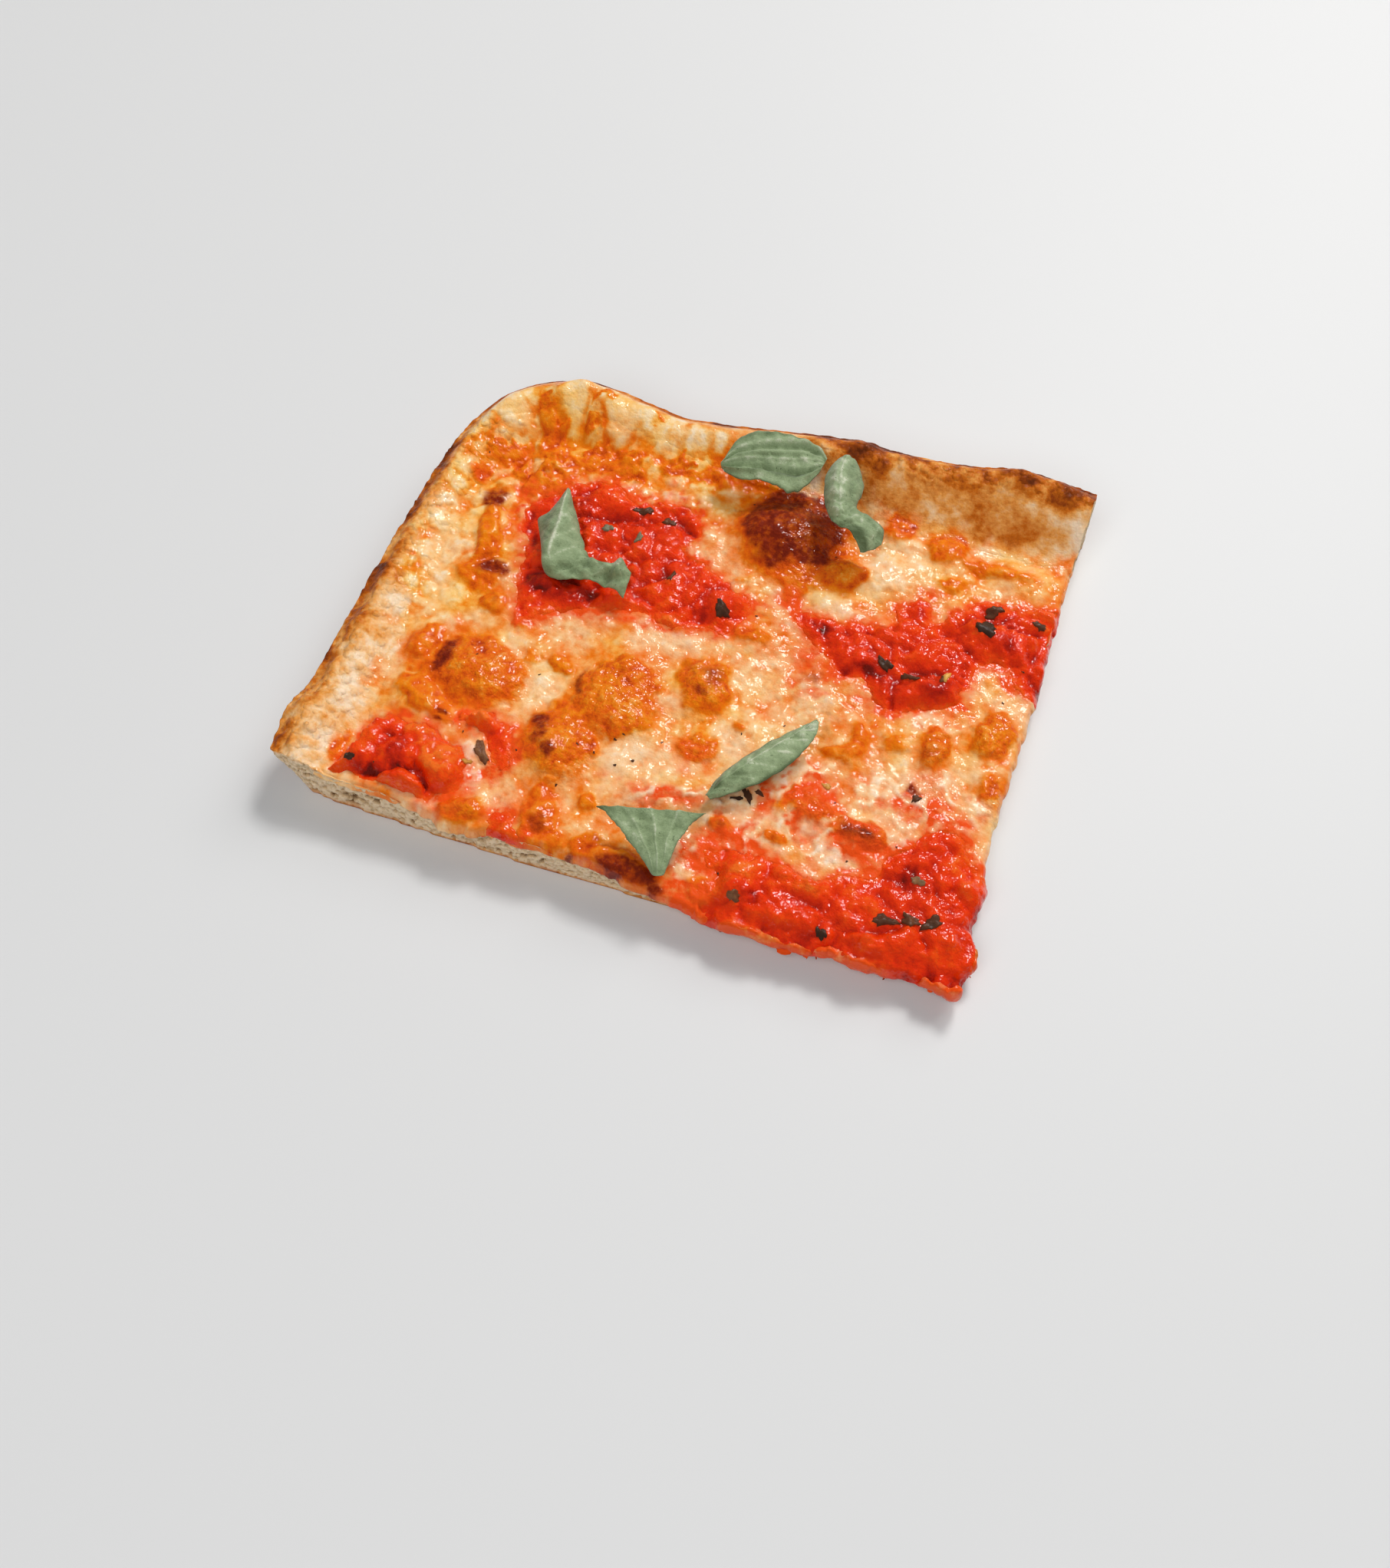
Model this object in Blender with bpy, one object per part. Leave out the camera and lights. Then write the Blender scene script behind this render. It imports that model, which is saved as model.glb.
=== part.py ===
"""A square-cut slice of grandma pizza, lying flat on its base.

Pan-baked dough has raised outer edges at the left and back and knife cuts at the front and
right. A layer of melted cheese fills it out to the cuts, patches of crushed tomato reach down
through the cheese, and torn basil leaves lie on top. Lengths are in millimetres until a mesh
is made. Plan places are measured from a datum point near the slice's middle, with X along the
front cut and Y towards the back rim.
"""

import math
import random

import bmesh
import bpy
from mathutils import Vector, noise
from mathutils.geometry import delaunay_2d_cdt

MM = 0.001
BOX_CENTRE = (-3.7, 3.8)        # the middle of the slice's box, from the datum point

GAP = 0.3                       # room between touching pieces
EDGE_STEP = 2.6                 # spacing of points along the knife cuts, the rim and the edges
RIM_STEP = 2.0
OUTER_STEP = 2.2
INNER_STEP = 2.4
PATCH_STEP = 1.9
RIM_GRID = 1.95                 # spacing of points over the rims, the cheese and the sauce
CHEESE_GRID = 2.55
SAUCE_GRID = 1.95
GRID_JITTER = 0.2               # how far such a point is moved at random, in spacings
RIM_MARGIN = 1.2                # bare strips kept inside the edges of those grids
CHEESE_MARGIN = 2.7
SAUCE_MARGIN = 0.9
CHEESE_HEM = 1.5                # a row of points just inside the cheese's edge
CUTTER_TOP = 30.0               # above everything
CUTTER_RIGHT, CUTTER_FRONT, CUTTER_LEFT = 75.0, -60.0, -57.0    # past both knife cuts
POCKET_CORE_INSET = 3.0         # the middle of the pocket, where the dough needs no points

FLOOR = 4.4                     # top of the crumb under the toppings, at X = 0
FLOOR_SLOPE = -0.030            # the crumb thins towards the right
CHEESE = 2.9                    # usual thickness of the melted cheese
CHEESE_WAVE = 0.55              # height and width of its slow unevenness
CHEESE_WAVE_SIZE = 11.0
BANK = 0.4                      # thickness of the cheese that climbs the rims
BANK_BLEND = 1.6                # how widely it curves up to them
FRONT_SAG = 0.9                 # sag of the toppings at the front cut, and how much more at the right
FRONT_SAG_MORE = 1.5
FRONT_SAG_FROM, FRONT_SAG_OVER = -5.0, 20.0     # where along X it grows
FRONT_SAG_WIDTH = 4.0
RIGHT_SAG = 1.1                 # sag at the right-hand cut
RIGHT_SAG_WIDTH = 3.0
SAUCE_RISE = 0.7                # how far a sauce patch stands over the cheese beside it
SAUCE_RISE_WIDTH = 2.5
LEAF = 0.45                     # thickness of a basil leaf
LEAF_ROOM = 0.35                # room under a leaf beyond the usual gap
LEAF_REACH = 0.8                # how far round a place the toppings are looked at for it
FLAKE = 0.45                    # how far a charred herb flake stands up
FLAKE_CROWN = 0.585             # how far its middle does
FLAKE_ROOT = 1.1                # how far it reaches into what it lies on
FLAKE_SIDES = 7
FLAKE_REACH, FLAKE_UNEVEN = 0.5, 0.1            # half its size, and how uneven it is
FLAKE_PROBE = 0.4               # step to the places beside its middle that it clears too

RIM_CREST = 4.5                 # from the rim's outer side in to its crest
RIM_SHOULDER = 0.66             # height of the rim's widest line, as a share of its crest
RIM_FALL = 1.15                 # above 1, the inner slope is hollow near its foot
PAN_FLARE = 5.0                 # how far the pan's flared wall leans out from base to shoulder
FLARE_BEND = 1.3                # above 1, the wall is steepest near the shoulder
WALL_MIDDLE = 0.38              # height of the ring halfway down the dough's sides
CRUMB_WOBBLE = 0.25             # unevenness of that ring
POCKET_DEPTH = 1.5              # least height of uncut dough over the crumb in the pocket

# The outer rim from the front cut round to the right cut: X, Y, crest height, slope width.
RIM = [
    (-67.8, -44.5, 10.5, 17), (-68.6, -36, 11.0, 17), (-67.3, -29, 11.0, 17), (-67.2, -15, 11.0, 16.5),
    (-67.0, 0, 11.3, 14), (-66.6, 12, 11.8, 11.5), (-66.2, 25, 12.0, 11), (-65.4, 34, 12.3, 13),
    (-63.6, 42, 12.8, 16), (-60.2, 49.3, 13.2, 20), (-54.8, 54.4, 13.7, 22),
    (-47, 57.0, 14.4, 23), (-38, 57.2, 14.0, 22), (-29, 56.2, 12.8, 20), (-21, 55.4, 11.9, 17),
    (-12, 56.2, 12.2, 17), (0, 57.6, 13.0, 18), (13, 58.6, 13.4, 20), (27, 58.0, 12.8, 21),
    (36, 58.8, 12.9, 22), (45, 60.0, 13.8, 23), (54, 59.6, 13.2, 22), (61.2, 58.6, 12.4, 21),
]
FRONT_CUT = [(-67.8, -44.5), (-62, -45.6), (-53, -46.5), (-40, -47.2), (-20, -48.1), (0, -48.5),
             (20, -48.9), (40, -48.8), (56.6, -49.3)]
RIGHT_CUT = [(56.6, -49.3), (56.2, -40), (56.4, -25), (57.2, -10), (57.9, 5), (58.4, 20),
             (59.2, 35), (60.2, 48), (61.2, 58.6)]

# The toppings' edge: along the cuts, where they hang over the dough, and inside the rims.
TOPPING_FRONT = [(-57, -45.8), (-50, -46.4), (-42, -47.4), (-36, -48.7), (-30, -49.6),
                 (-26, -48.7), (-20, -48.3), (-13, -49.2), (-5, -50.2), (4, -50.2), (12, -51.2),
                 (20, -51.9), (30, -52.1), (36, -51.3), (42, -51.9), (50, -51.2), (58.2, -52.4)]
TOPPING_RIGHT = [(58.2, -52.4), (57.6, -48.8), (59.4, -45.6), (57.7, -42), (57.1, -38),
                 (58.0, -32.4), (57.0, -25), (57.7, -10), (58.4, 2), (58.8, 12), (58.9, 24),
                 (59.3, 33), (59.8, 41.5)]
TOPPING_INNER = [(59.8, 41.5), (50, 41), (41, 41), (32, 41), (22, 42), (12, 43), (2, 43.5),
                 (-8, 44), (-16, 44.5), (-24, 45.5), (-32, 46.5), (-40, 47), (-48, 46.5),
                 (-54, 43.5), (-58, 38.5), (-60, 32), (-60.8, 24), (-61, 14), (-60, 4),
                 (-57.5, -3), (-55.5, -12), (-54.5, -25), (-54, -36), (-55, -41), (-57, -45.8)]

# Blisters of browned cheese and cream domes: X, Y, half length, half width, turn, height.
BLISTERS = [
    (4, 31.5, 11, 9.5, 0, 3.6), (-39.5, -18, 9, 6.5, -15, 1.9), (-14, -18, 8.5, 7.5, 0, 1.7),
    (0.5, -8.5, 5.5, 6.5, 0, 1.4), (-20, -30, 7, 7.5, 25, 2.0), (18, 27, 5.5, 4.2, 10, 1.5),
    (36, 38.5, 4, 4.5, 0, 1.3), (51, 35, 7, 3, -8, 1.1), (44, -10, 3.2, 4.6, 10, 1.3),
    (52, -2.5, 4.5, 5.5, 0, 0.9), (31, -14, 5, 3, -20, 0.8), (26, -28, 6.5, 4.5, -10, 1.5),
    (35, -30.5, 4.5, 3.4, 0, 0.9), (-30, -46, 4.5, 4, 0, 1.3), (-52, 22, 3.2, 3.4, 0, 1.2),
    (-49.5, 12, 4, 6, 15, 0.9), (-44.5, 5, 4, 3.6, 0, 1.0), (6.5, 5, 4.5, 3, 0, 0.9),
    (-13.5, -8.5, 3.4, 3.2, 0, 0.9), (-7.5, -20.5, 3.5, 3, 0, 0.8),
    (-45.5, -27.5, 6.5, 3.6, -10, 0.9), (-18, -42, 3.5, 4.5, 10, 0.9), (0, -46.5, 5.5, 3, 0, 0.9),
    (27, 28, 6, 5, 30, 1.1), (17, 18, 5, 4, 0, 0.9), (-27, -15, 5, 4, 0, 0.8),
    (-5, 0.5, 6, 4, 0, 0.8), (10, -14.5, 5, 4, 0, 0.7), (-10, -28, 5, 5, 0, 0.7),
    (46, 7, 4, 3.5, 0, 0.8), (38, -8, 4, 3.5, 0, 0.7), (-35, -8, 5, 4, 0, 0.9),
    (-52, -14, 3, 5.5, 0, 0.8), (26, 38, 5, 3, 0, 1.0), (-28, 40, 6, 4, 20, 1.2),
    (-44, 35, 5, 6, 0, 0.9),
]

# Fluted ridges up the puffed corner: X and Y of the middle, length, width, turn, height.
FLUTES = [(-57, 44, 8, 3, 60, 1.5), (-47.5, 47.5, 8, 3.2, 80, 1.8), (-37.5, 48, 7.5, 3.2, 100, 1.6),
          (-28.5, 46.5, 6.5, 3, 110, 1.1)]

# Blisters on the rims and their bumpy crest.
RIM_BLISTERS = [(-66, -35, 2.6, 3.6, 0, 1.3), (-64.5, -3, 3, 3.6, 0, 0.9), (-63.5, 17, 2.4, 4, 0, 0.7),
                (46, 55.5, 5, 3.2, 0, 0.9), (54.5, 55, 3.4, 3, 0, 0.8), (15, 54, 4, 3, 0, 0.8),
                (24, 53.5, 3, 3, 0, 0.7), (35.5, 54.5, 3, 3, 0, 0.6)]
SMALL_BLISTERS = 90             # seeded along the rims
SMALL_BLISTER_SIZE = (1.5, 2.9)
SMALL_BLISTER_RISE = (0.25, 0.7)
SMALL_BLISTER_INWARD = (0.5, 9.0)
BLISTER_ROUNDNESS = (0.8, 1.2)

# Outlines of the sauce patches, which the toppings' edge trims where they run past it.
SAUCE = {
    "sauce_front_left": [
        (-57.5, -43.5), (-56, -40.5), (-54.5, -36.5), (-53, -33), (-50, -31.5), (-47, -32),
        (-42, -31.5), (-38, -33), (-35, -36), (-32.5, -40), (-34, -44), (-34.5, -52),
        (-42, -52), (-50, -51), (-57.5, -50)],
    "sauce_small": [
        (-38.5, -27), (-36, -25.5), (-32, -25.5), (-29, -28), (-27, -31), (-26, -35),
        (-27.5, -37), (-29.5, -35), (-32.5, -30), (-36, -29)],
    "sauce_wedge": [(-25, -43.5), (-22, -44), (-19.5, -46.5), (-17.5, -52), (-24.5, -52), (-26, -46.5)],
    "sauce_back_left": [
        (-41, 28.5), (-38, 31.5), (-35, 34), (-30, 34), (-25, 31), (-18, 31.5), (-13, 31.5),
        (-11.5, 27.5), (-13, 23), (-9.5, 20.5), (-4.5, 19), (0.5, 16), (4, 13.5), (5, 9), (1, 5),
        (-9, 4.5), (-20, 4), (-28, 2), (-33, -0.5), (-36, -4.5), (-38.5, 0), (-40, 8),
        (-42.5, 16), (-45, 22), (-44, 26)],
    "sauce_right": [
        (11, 15), (17, 14.5), (25, 15), (30, 16), (30, 21.5), (32, 25), (35.5, 25.5), (37, 22.5),
        (38, 19.5), (40, 23.5), (45, 27), (50, 28), (55, 30), (62, 32), (63, 20), (62, 9.5),
        (57, 9), (53.5, 12.5), (49, 15.5), (46.5, 11.5), (45.5, 6), (44.5, 2), (39.5, 0.5),
        (37, -2), (32, -1.5), (28.5, 2.5), (22, 3), (18.5, 8), (13, 10)],
    "sauce_front_right": [
        (11, -40.5), (16, -39), (25, -39), (33, -38), (39, -35.5), (41, -32), (44.5, -27),
        (47.5, -23), (52, -23), (55, -27), (57, -31), (62, -33), (63, -57), (14.5, -57),
        (15, -47.5), (13, -44)],
}
LUMP_RADIUS = (1.9, 3.6)        # crushed tomato lumps in a sauce patch
LUMP_RISE = (0.5, 1.5)
LUMP_ROUNDNESS = (0.7, 1.0)
LUMP_SPACING = 3.1
LUMP_TRIES = 900

# Charred herb flakes: X, Y, length, width, turn in degrees.
FLAKES = {
    "cheese": [(-32, -33.7, 5.0, 1.9, -48), (43, -19, 2.0, 1.2, 60), (15, -27.5, 3.2, 1.3, -60)],
    "sauce_back_left": [(-23, 29, 3.4, 1.8, 10), (-17.5, 28, 2.6, 1.8, 40), (-28, 22, 2.4, 1.6, 0),
                        (-21.5, 21.5, 2.2, 1.4, 70), (-12.5, 14, 2.2, 1.4, 80), (-1, 9.5, 3.4, 2.4, -20)],
    "sauce_right": [(31, 7.5, 3.4, 1.8, -40), (36, 5.5, 3.0, 1.8, -20), (42, 6.5, 1.8, 1.3, 90),
                    (47, 20.5, 4.4, 3.0, -15), (47.5, 26, 3.2, 2.2, 20), (56.5, 25.5, 2.2, 1.8, 0)],
    "sauce_front_right": [(43.5, -44, 4.4, 2.0, 25), (47.5, -42.5, 3.4, 2.0, -15),
                          (51, -42, 3.4, 2.2, 35), (47, -35, 2.2, 1.4, 0), (18.5, -47.5, 2.2, 1.6, 30),
                          (34, -49, 2.4, 1.4, -50)],
    "sauce_front_left": [(-53, -42.5, 1.6, 1.2, 0)],
}

# Basil leaves by left edge, midrib and right edge, each from the leaf's tip to its base.
BASIL = {
    "basil_folded": {
        "left": [(-37.0, 24.6, 14.6), (-39.2, 20.7, 12.0), (-41.2, 18.6, 11.0), (-39.1, 14.5, 11.2),
                 (-37.2, 10.7, 11.3), (-34.6, 6.0, 11.2), (-30.5, 5.4, 11.2), (-27.0, 6.9, 11.3),
                 (-24.0, 6.4, 11.2), (-21.0, 5.8, 11.4), (-18.8, 4.7, 11.3)],
        "rib": [(-36.7, 24.6, 15.0), (-36.1, 21.0, 15.0), (-35.2, 17.2, 14.8), (-34.6, 14.0, 14.6),
                (-33.9, 10.6, 14.2), (-33.2, 8.4, 13.4), (-30.2, 8.6, 12.6), (-26.7, 9.0, 12.5),
                (-23.6, 8.6, 12.8), (-20.8, 8.2, 13.8), (-18.7, 6.8, 12.4)],
        "right": [(-36.3, 24.7, 14.6), (-35.0, 22.6, 13.6), (-33.2, 20.0, 12.6), (-31.2, 16.8, 12.0),
                  (-29.4, 14.2, 11.8), (-28.2, 12.6, 11.9), (-27.4, 11.6, 12.3), (-26.0, 10.6, 12.9),
                  (-23.4, 10.4, 13.6), (-20.8, 10.6, 14.9), (-18.6, 9.2, 13.4)],
        "columns": 4, "pleats": 0, "pleat": 0.0},
    "basil_pleated": {
        "left": [(-10.9, 41.2, 13.6), (-9.6, 46.4, 15.4), (-6.4, 48.6, 17.0), (-2.0, 49.6, 17.4),
                 (2.8, 49.6, 17.0), (6.6, 48.8, 16.2), (9.0, 46.6, 15.6)],
        "rib": [(-10.8, 40.6, 13.6), (-8.0, 42.2, 14.4), (-3.6, 43.4, 14.8), (0.8, 44.3, 14.8),
                (4.4, 45.2, 15.0), (7.0, 45.8, 15.1), (8.8, 45.8, 15.2)],
        "right": [(-9.8, 39.6, 13.4), (-6.0, 38.4, 13.2), (-2.4, 38.6, 13.8), (1.0, 38.0, 14.0),
                  (4.0, 37.4, 13.6), (6.4, 39.8, 13.6), (8.2, 43.6, 14.2)],
        "columns": 8, "pleats": 4, "pleat": 0.55},
    "basil_twisted": {
        "left": [(11.0, 46.4, 16.4), (9.9, 42.0, 16.2), (10.6, 37.8, 15.8), (12.0, 34.2, 15.2),
                 (14.2, 31.2, 14.2), (17.2, 30.2, 13.8), (19.4, 28.6, 13.4), (20.8, 26.8, 12.6)],
        "rib": [(12.8, 47.0, 17.0), (12.9, 42.2, 18.0), (13.9, 37.4, 17.8), (14.8, 34.2, 16.8),
                (16.2, 32.8, 16.0), (18.8, 32.2, 15.8), (21.4, 30.6, 15.0), (22.4, 28.2, 13.4)],
        "right": [(14.8, 47.0, 16.4), (16.8, 44.0, 15.8), (18.0, 40.4, 15.4), (17.6, 37.4, 15.4),
                  (18.0, 35.6, 15.6), (20.4, 34.9, 15.4), (23.8, 33.2, 14.6), (24.2, 30.2, 13.2)],
        "columns": 4, "pleats": 0, "pleat": 0.0},
    "basil_slender": {
        "left": [(8.4, -31.0, 9.6), (9.4, -27.4, 10.4), (11.9, -23.2, 11.0), (15.2, -18.8, 11.2),
                 (18.6, -15.0, 11.2), (21.4, -12.6, 11.6), (22.7, -11.6, 11.9)],
        "rib": [(8.9, -31.4, 9.7), (11.4, -28.6, 10.2), (14.4, -25.0, 10.4), (17.3, -21.4, 10.6),
                (20.0, -17.3, 10.8), (21.8, -14.3, 11.2), (23.0, -11.8, 11.8)],
        "right": [(9.6, -31.6, 9.6), (13.2, -29.6, 10.2), (17.4, -26.2, 10.6), (20.6, -22.2, 10.8),
                  (22.6, -17.8, 10.8), (23.6, -14.4, 11.2), (23.4, -12.0, 11.8)],
        "columns": 4, "pleats": 0, "pleat": 0.0},
    "basil_torn": {
        "left": [(5.2, -48.6, 9.6), (2.2, -46.4, 10.4), (-0.8, -44.6, 10.9), (-3.8, -42.4, 11.2),
                 (-6.4, -40.8, 11.6), (-8.4, -40.2, 12.2)],
        "rib": [(5.5, -48.7, 9.8), (4.6, -45.6, 11.2), (3.6, -43.4, 11.7), (2.8, -41.2, 11.9),
                (2.0, -39.6, 12.2), (1.2, -38.2, 12.6)],
        "right": [(5.8, -48.4, 9.6), (6.3, -45.4, 10.8), (7.2, -42.7, 11.2), (8.0, -40.2, 11.6),
                  (8.9, -38.0, 12.0), (10.6, -36.4, 12.8)],
        "columns": 4, "pleats": 0, "pleat": 0.0},
}

COLOURS = {                     # linear base colour and roughness of each kind of piece
    "dough": ((0.62, 0.38, 0.17), 0.7),
    "cheese": ((0.83, 0.48, 0.17), 0.4),
    "sauce": ((0.55, 0.045, 0.015), 0.35),
    "basil": ((0.19, 0.25, 0.13), 0.6),
}


# ---------------------------------------------------------------------------------- curves

def spline(points, step):
    """Points about `step` apart along a smooth open curve through `points`, of any width."""
    curve = []
    for index in range(len(points) - 1):
        start, end = points[index], points[index + 1]
        before = points[max(index - 1, 0)]
        after = points[min(index + 2, len(points) - 1)]
        count = max(1, round(math.dist(start[:2], end[:2]) / step))
        for part in range(count):
            t = part / count
            curve.append(tuple(
                0.5 * (2 * b + (c - a) * t + (2 * a - 5 * b + 4 * c - d) * t ** 2
                       + (3 * b - a - 3 * c + d) * t ** 3)
                for a, b, c, d in zip(before, start, end, after)))
    curve.append(tuple(points[-1]))
    return curve


def closed_spline(points, step):
    """A smooth closed curve through `points`."""
    wrapped = [points[-1]] + points + [points[0], points[1]]
    curve = spline(wrapped, step)
    first = min(range(len(curve)), key=lambda i: math.dist(curve[i], points[0]))
    last = max(i for i in range(len(curve)) if math.dist(curve[i], points[0]) < 1e-6)
    return curve[first:last]


def nearest(path, x, y):
    """Distance from (x, y) to a path, and the path's own values at the nearest place."""
    best = (1e9, path[0])
    for start, end in zip(path, path[1:]):
        dx, dy = end[0] - start[0], end[1] - start[1]
        t = ((x - start[0]) * dx + (y - start[1]) * dy) / (dx * dx + dy * dy)
        t = min(1.0, max(0.0, t))
        gap = math.hypot(x - start[0] - t * dx, y - start[1] - t * dy)
        if gap < best[0]:
            best = (gap, tuple(a + t * (b - a) for a, b in zip(start, end)))
    return best


def inside(outline, x, y):
    """Whether (x, y) is inside a closed outline."""
    hit = False
    for (x0, y0), (x1, y1) in zip(outline, outline[1:] + outline[:1]):
        if (y0 > y) != (y1 > y) and x < x0 + (y - y0) * (x1 - x0) / (y1 - y0):
            hit = not hit
    return hit


def grown(outline, distance):
    """A counter-clockwise outline moved out by `distance` along its normals."""
    moved = []
    for index, (x, y) in enumerate(outline):
        x0, y0 = outline[index - 1]
        x1, y1 = outline[(index + 1) % len(outline)]
        length = math.hypot(x1 - x0, y1 - y0)
        moved.append((x + distance * (y1 - y0) / length, y - distance * (x1 - x0) / length))
    return moved


def counter_clockwise(outline):
    """The outline turned so that it runs counter-clockwise."""
    area = sum(x0 * y1 - x1 * y0 for (x0, y0), (x1, y1) in zip(outline, outline[1:] + outline[:1]))
    return outline if area > 0 else outline[::-1]


# --------------------------------------------------------------------------------- heights

def smooth_max(a, b, blend):
    """The larger of two heights, with the crease between them rounded."""
    overlap = max(blend - abs(a - b), 0.0) / blend
    return max(a, b) + overlap * overlap * blend / 4


def ease(t):
    """A smooth step from 0 to 1."""
    t = min(1.0, max(0.0, t))
    return t * t * (3 - 2 * t)


def dome(x, y, place):
    """Height of one rounded bump: X, Y, half length, half width, turn in degrees, rise."""
    px, py, length, width, turn, rise = place
    angle = math.radians(turn)
    dx, dy = x - px, y - py
    along = (dx * math.cos(angle) + dy * math.sin(angle)) / length
    across = (dy * math.cos(angle) - dx * math.sin(angle)) / width
    reach = along * along + across * across
    return rise * (1 - reach) ** 1.5 if reach < 1 else 0.0


def floor_height(x):
    """Top of the crumb under the toppings."""
    return FLOOR + FLOOR_SLOPE * x


def small_blisters(path):
    """Seeded blisters along the rim, most of them on its outer half."""
    chance = random.Random(11)
    blisters = []
    for _ in range(SMALL_BLISTERS):
        x, y = chance.choice(path)[:2]
        inward = chance.uniform(*SMALL_BLISTER_INWARD)
        towards = Vector((BOX_CENTRE[0] - x, BOX_CENTRE[1] - y)).normalized() * inward
        size = chance.uniform(*SMALL_BLISTER_SIZE)
        blisters.append((x + towards.x, y + towards.y, size, size * chance.uniform(*BLISTER_ROUNDNESS), 0,
                         chance.uniform(*SMALL_BLISTER_RISE)))
    return blisters


RIM_PATH = spline(RIM, RIM_STEP)
ALL_RIM_BLISTERS = RIM_BLISTERS + FLUTES + small_blisters(RIM_PATH)


def rim_profile(x, y):
    """The rim's height, from its shoulder over the crest and down its inner slope."""
    distance, (_, _, crest, width) = nearest(RIM_PATH, x, y)
    floor = floor_height(x)
    if distance < RIM_CREST:
        shoulder = crest * RIM_SHOULDER
        return shoulder + (crest - shoulder) * math.sin(0.5 * math.pi * distance / RIM_CREST)
    t = min(1.0, (distance - RIM_CREST) / (width - RIM_CREST))
    return floor + (crest - floor) * (0.5 + 0.5 * math.cos(math.pi * t)) ** RIM_FALL


def dough_height(x, y):
    """Top of the dough, rims and their blisters included."""
    return rim_profile(x, y) + sum(dome(x, y, place) for place in ALL_RIM_BLISTERS)


def edge_droop(x, y):
    """How far the toppings sag where they hang over the two cuts."""
    front = nearest(FRONT_EDGE, x, y)[0]
    right = nearest(RIGHT_EDGE, x, y)[0]
    sag = FRONT_SAG + FRONT_SAG_MORE * ease((x - FRONT_SAG_FROM) / FRONT_SAG_OVER)
    return sag * (1 - ease(front / FRONT_SAG_WIDTH)) + RIGHT_SAG * (1 - ease(right / RIGHT_SAG_WIDTH))


def cheese_height(x, y):
    """Top of the melted cheese."""
    wave = noise.noise(Vector((x / CHEESE_WAVE_SIZE, y / CHEESE_WAVE_SIZE, 0.3)))
    level = floor_height(x) + CHEESE + CHEESE_WAVE * wave
    relief = sum(dome(x, y, place) for place in BLISTERS + FLUTES)
    return smooth_max(level, rim_profile(x, y) + BANK, BANK_BLEND) + relief - edge_droop(x, y)


def lumps_in(outline, seed):
    """Seeded lumps of crushed tomato spread over a sauce patch."""
    chance = random.Random(seed)
    low = [min(p[i] for p in outline) for i in (0, 1)]
    high = [max(p[i] for p in outline) for i in (0, 1)]
    lumps = []
    for _ in range(LUMP_TRIES):
        x, y = chance.uniform(low[0], high[0]), chance.uniform(low[1], high[1])
        if inside(outline, x, y) and all(math.dist((x, y), lump[:2]) > LUMP_SPACING for lump in lumps):
            size = chance.uniform(*LUMP_RADIUS)
            lumps.append((x, y, size, size * chance.uniform(*LUMP_ROUNDNESS), chance.uniform(0, 180),
                          chance.uniform(*LUMP_RISE)))
    return lumps


def sauce_height(outline, lumps):
    """A function for the top of one sauce patch: level with the cheese at its edge."""
    def height(x, y):
        rise = SAUCE_RISE * ease(nearest(outline + outline[:1], x, y)[0] / SAUCE_RISE_WIDTH)
        return cheese_height(x, y) + rise + max(dome(x, y, lump) for lump in lumps)
    return height


# ---------------------------------------------------------------------------------- meshes

def make_object(name, mesh_data, kind):
    """An object under the slice's empty, from a bmesh in millimetres."""
    bmesh.ops.recalc_face_normals(mesh_data, faces=mesh_data.faces)
    bmesh.ops.scale(mesh_data, vec=(MM, MM, MM), verts=mesh_data.verts)
    mesh = bpy.data.meshes.new(name)
    mesh_data.to_mesh(mesh)
    mesh_data.free()
    mesh.materials.append(bpy.data.materials[kind])
    mesh.shade_smooth()
    piece = bpy.data.objects.new(name, mesh)
    piece.parent = bpy.data.objects["slice"]
    bpy.context.scene.collection.objects.link(piece)
    return piece


def make_material(name):
    """A Principled material of one colour."""
    colour, roughness = COLOURS[name]
    material = bpy.data.materials.new(name)
    material.use_nodes = True
    shader = material.node_tree.nodes["Principled BSDF"]
    shader.inputs["Base Color"].default_value = (*colour, 1)
    shader.inputs["Roughness"].default_value = roughness


def scattered(outline, spacing, keep):
    """A jittered triangular grid of points inside an outline where keep(x, y) holds."""
    chance = random.Random(5)
    low = [min(p[i] for p in outline) for i in (0, 1)]
    high = [max(p[i] for p in outline) for i in (0, 1)]
    points = []
    row_gap = spacing * math.sqrt(0.75)
    for row in range(int((high[1] - low[1]) / row_gap) + 1):
        y = low[1] + row * row_gap
        shift = spacing / 2 if row % 2 else 0.0
        for column in range(int((high[0] - low[0]) / spacing) + 2):
            px = low[0] + column * spacing - shift + chance.uniform(-GRID_JITTER, GRID_JITTER) * spacing
            py = y + chance.uniform(-GRID_JITTER, GRID_JITTER) * spacing
            if inside(outline, px, py) and keep(px, py):
                points.append((px, py))
    return points


def triangulated(points, loops, region):
    """Triangles over a region from loose points and closed loops that its edges follow."""
    coords = []
    edges = []
    for loop in loops:
        first = len(coords)
        coords += loop
        edges += [(first + i, first + (i + 1) % len(loop)) for i in range(len(loop))]
    result = delaunay_2d_cdt([Vector(p) for p in coords + points], edges, [], 0, 1e-5)
    places = [tuple(v) for v in result[0]]
    faces = []
    for face in result[2]:
        x = sum(places[i][0] for i in face) / 3
        y = sum(places[i][1] for i in face) / 3
        if region(x, y):
            faces.append(face)
    return places, faces


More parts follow.
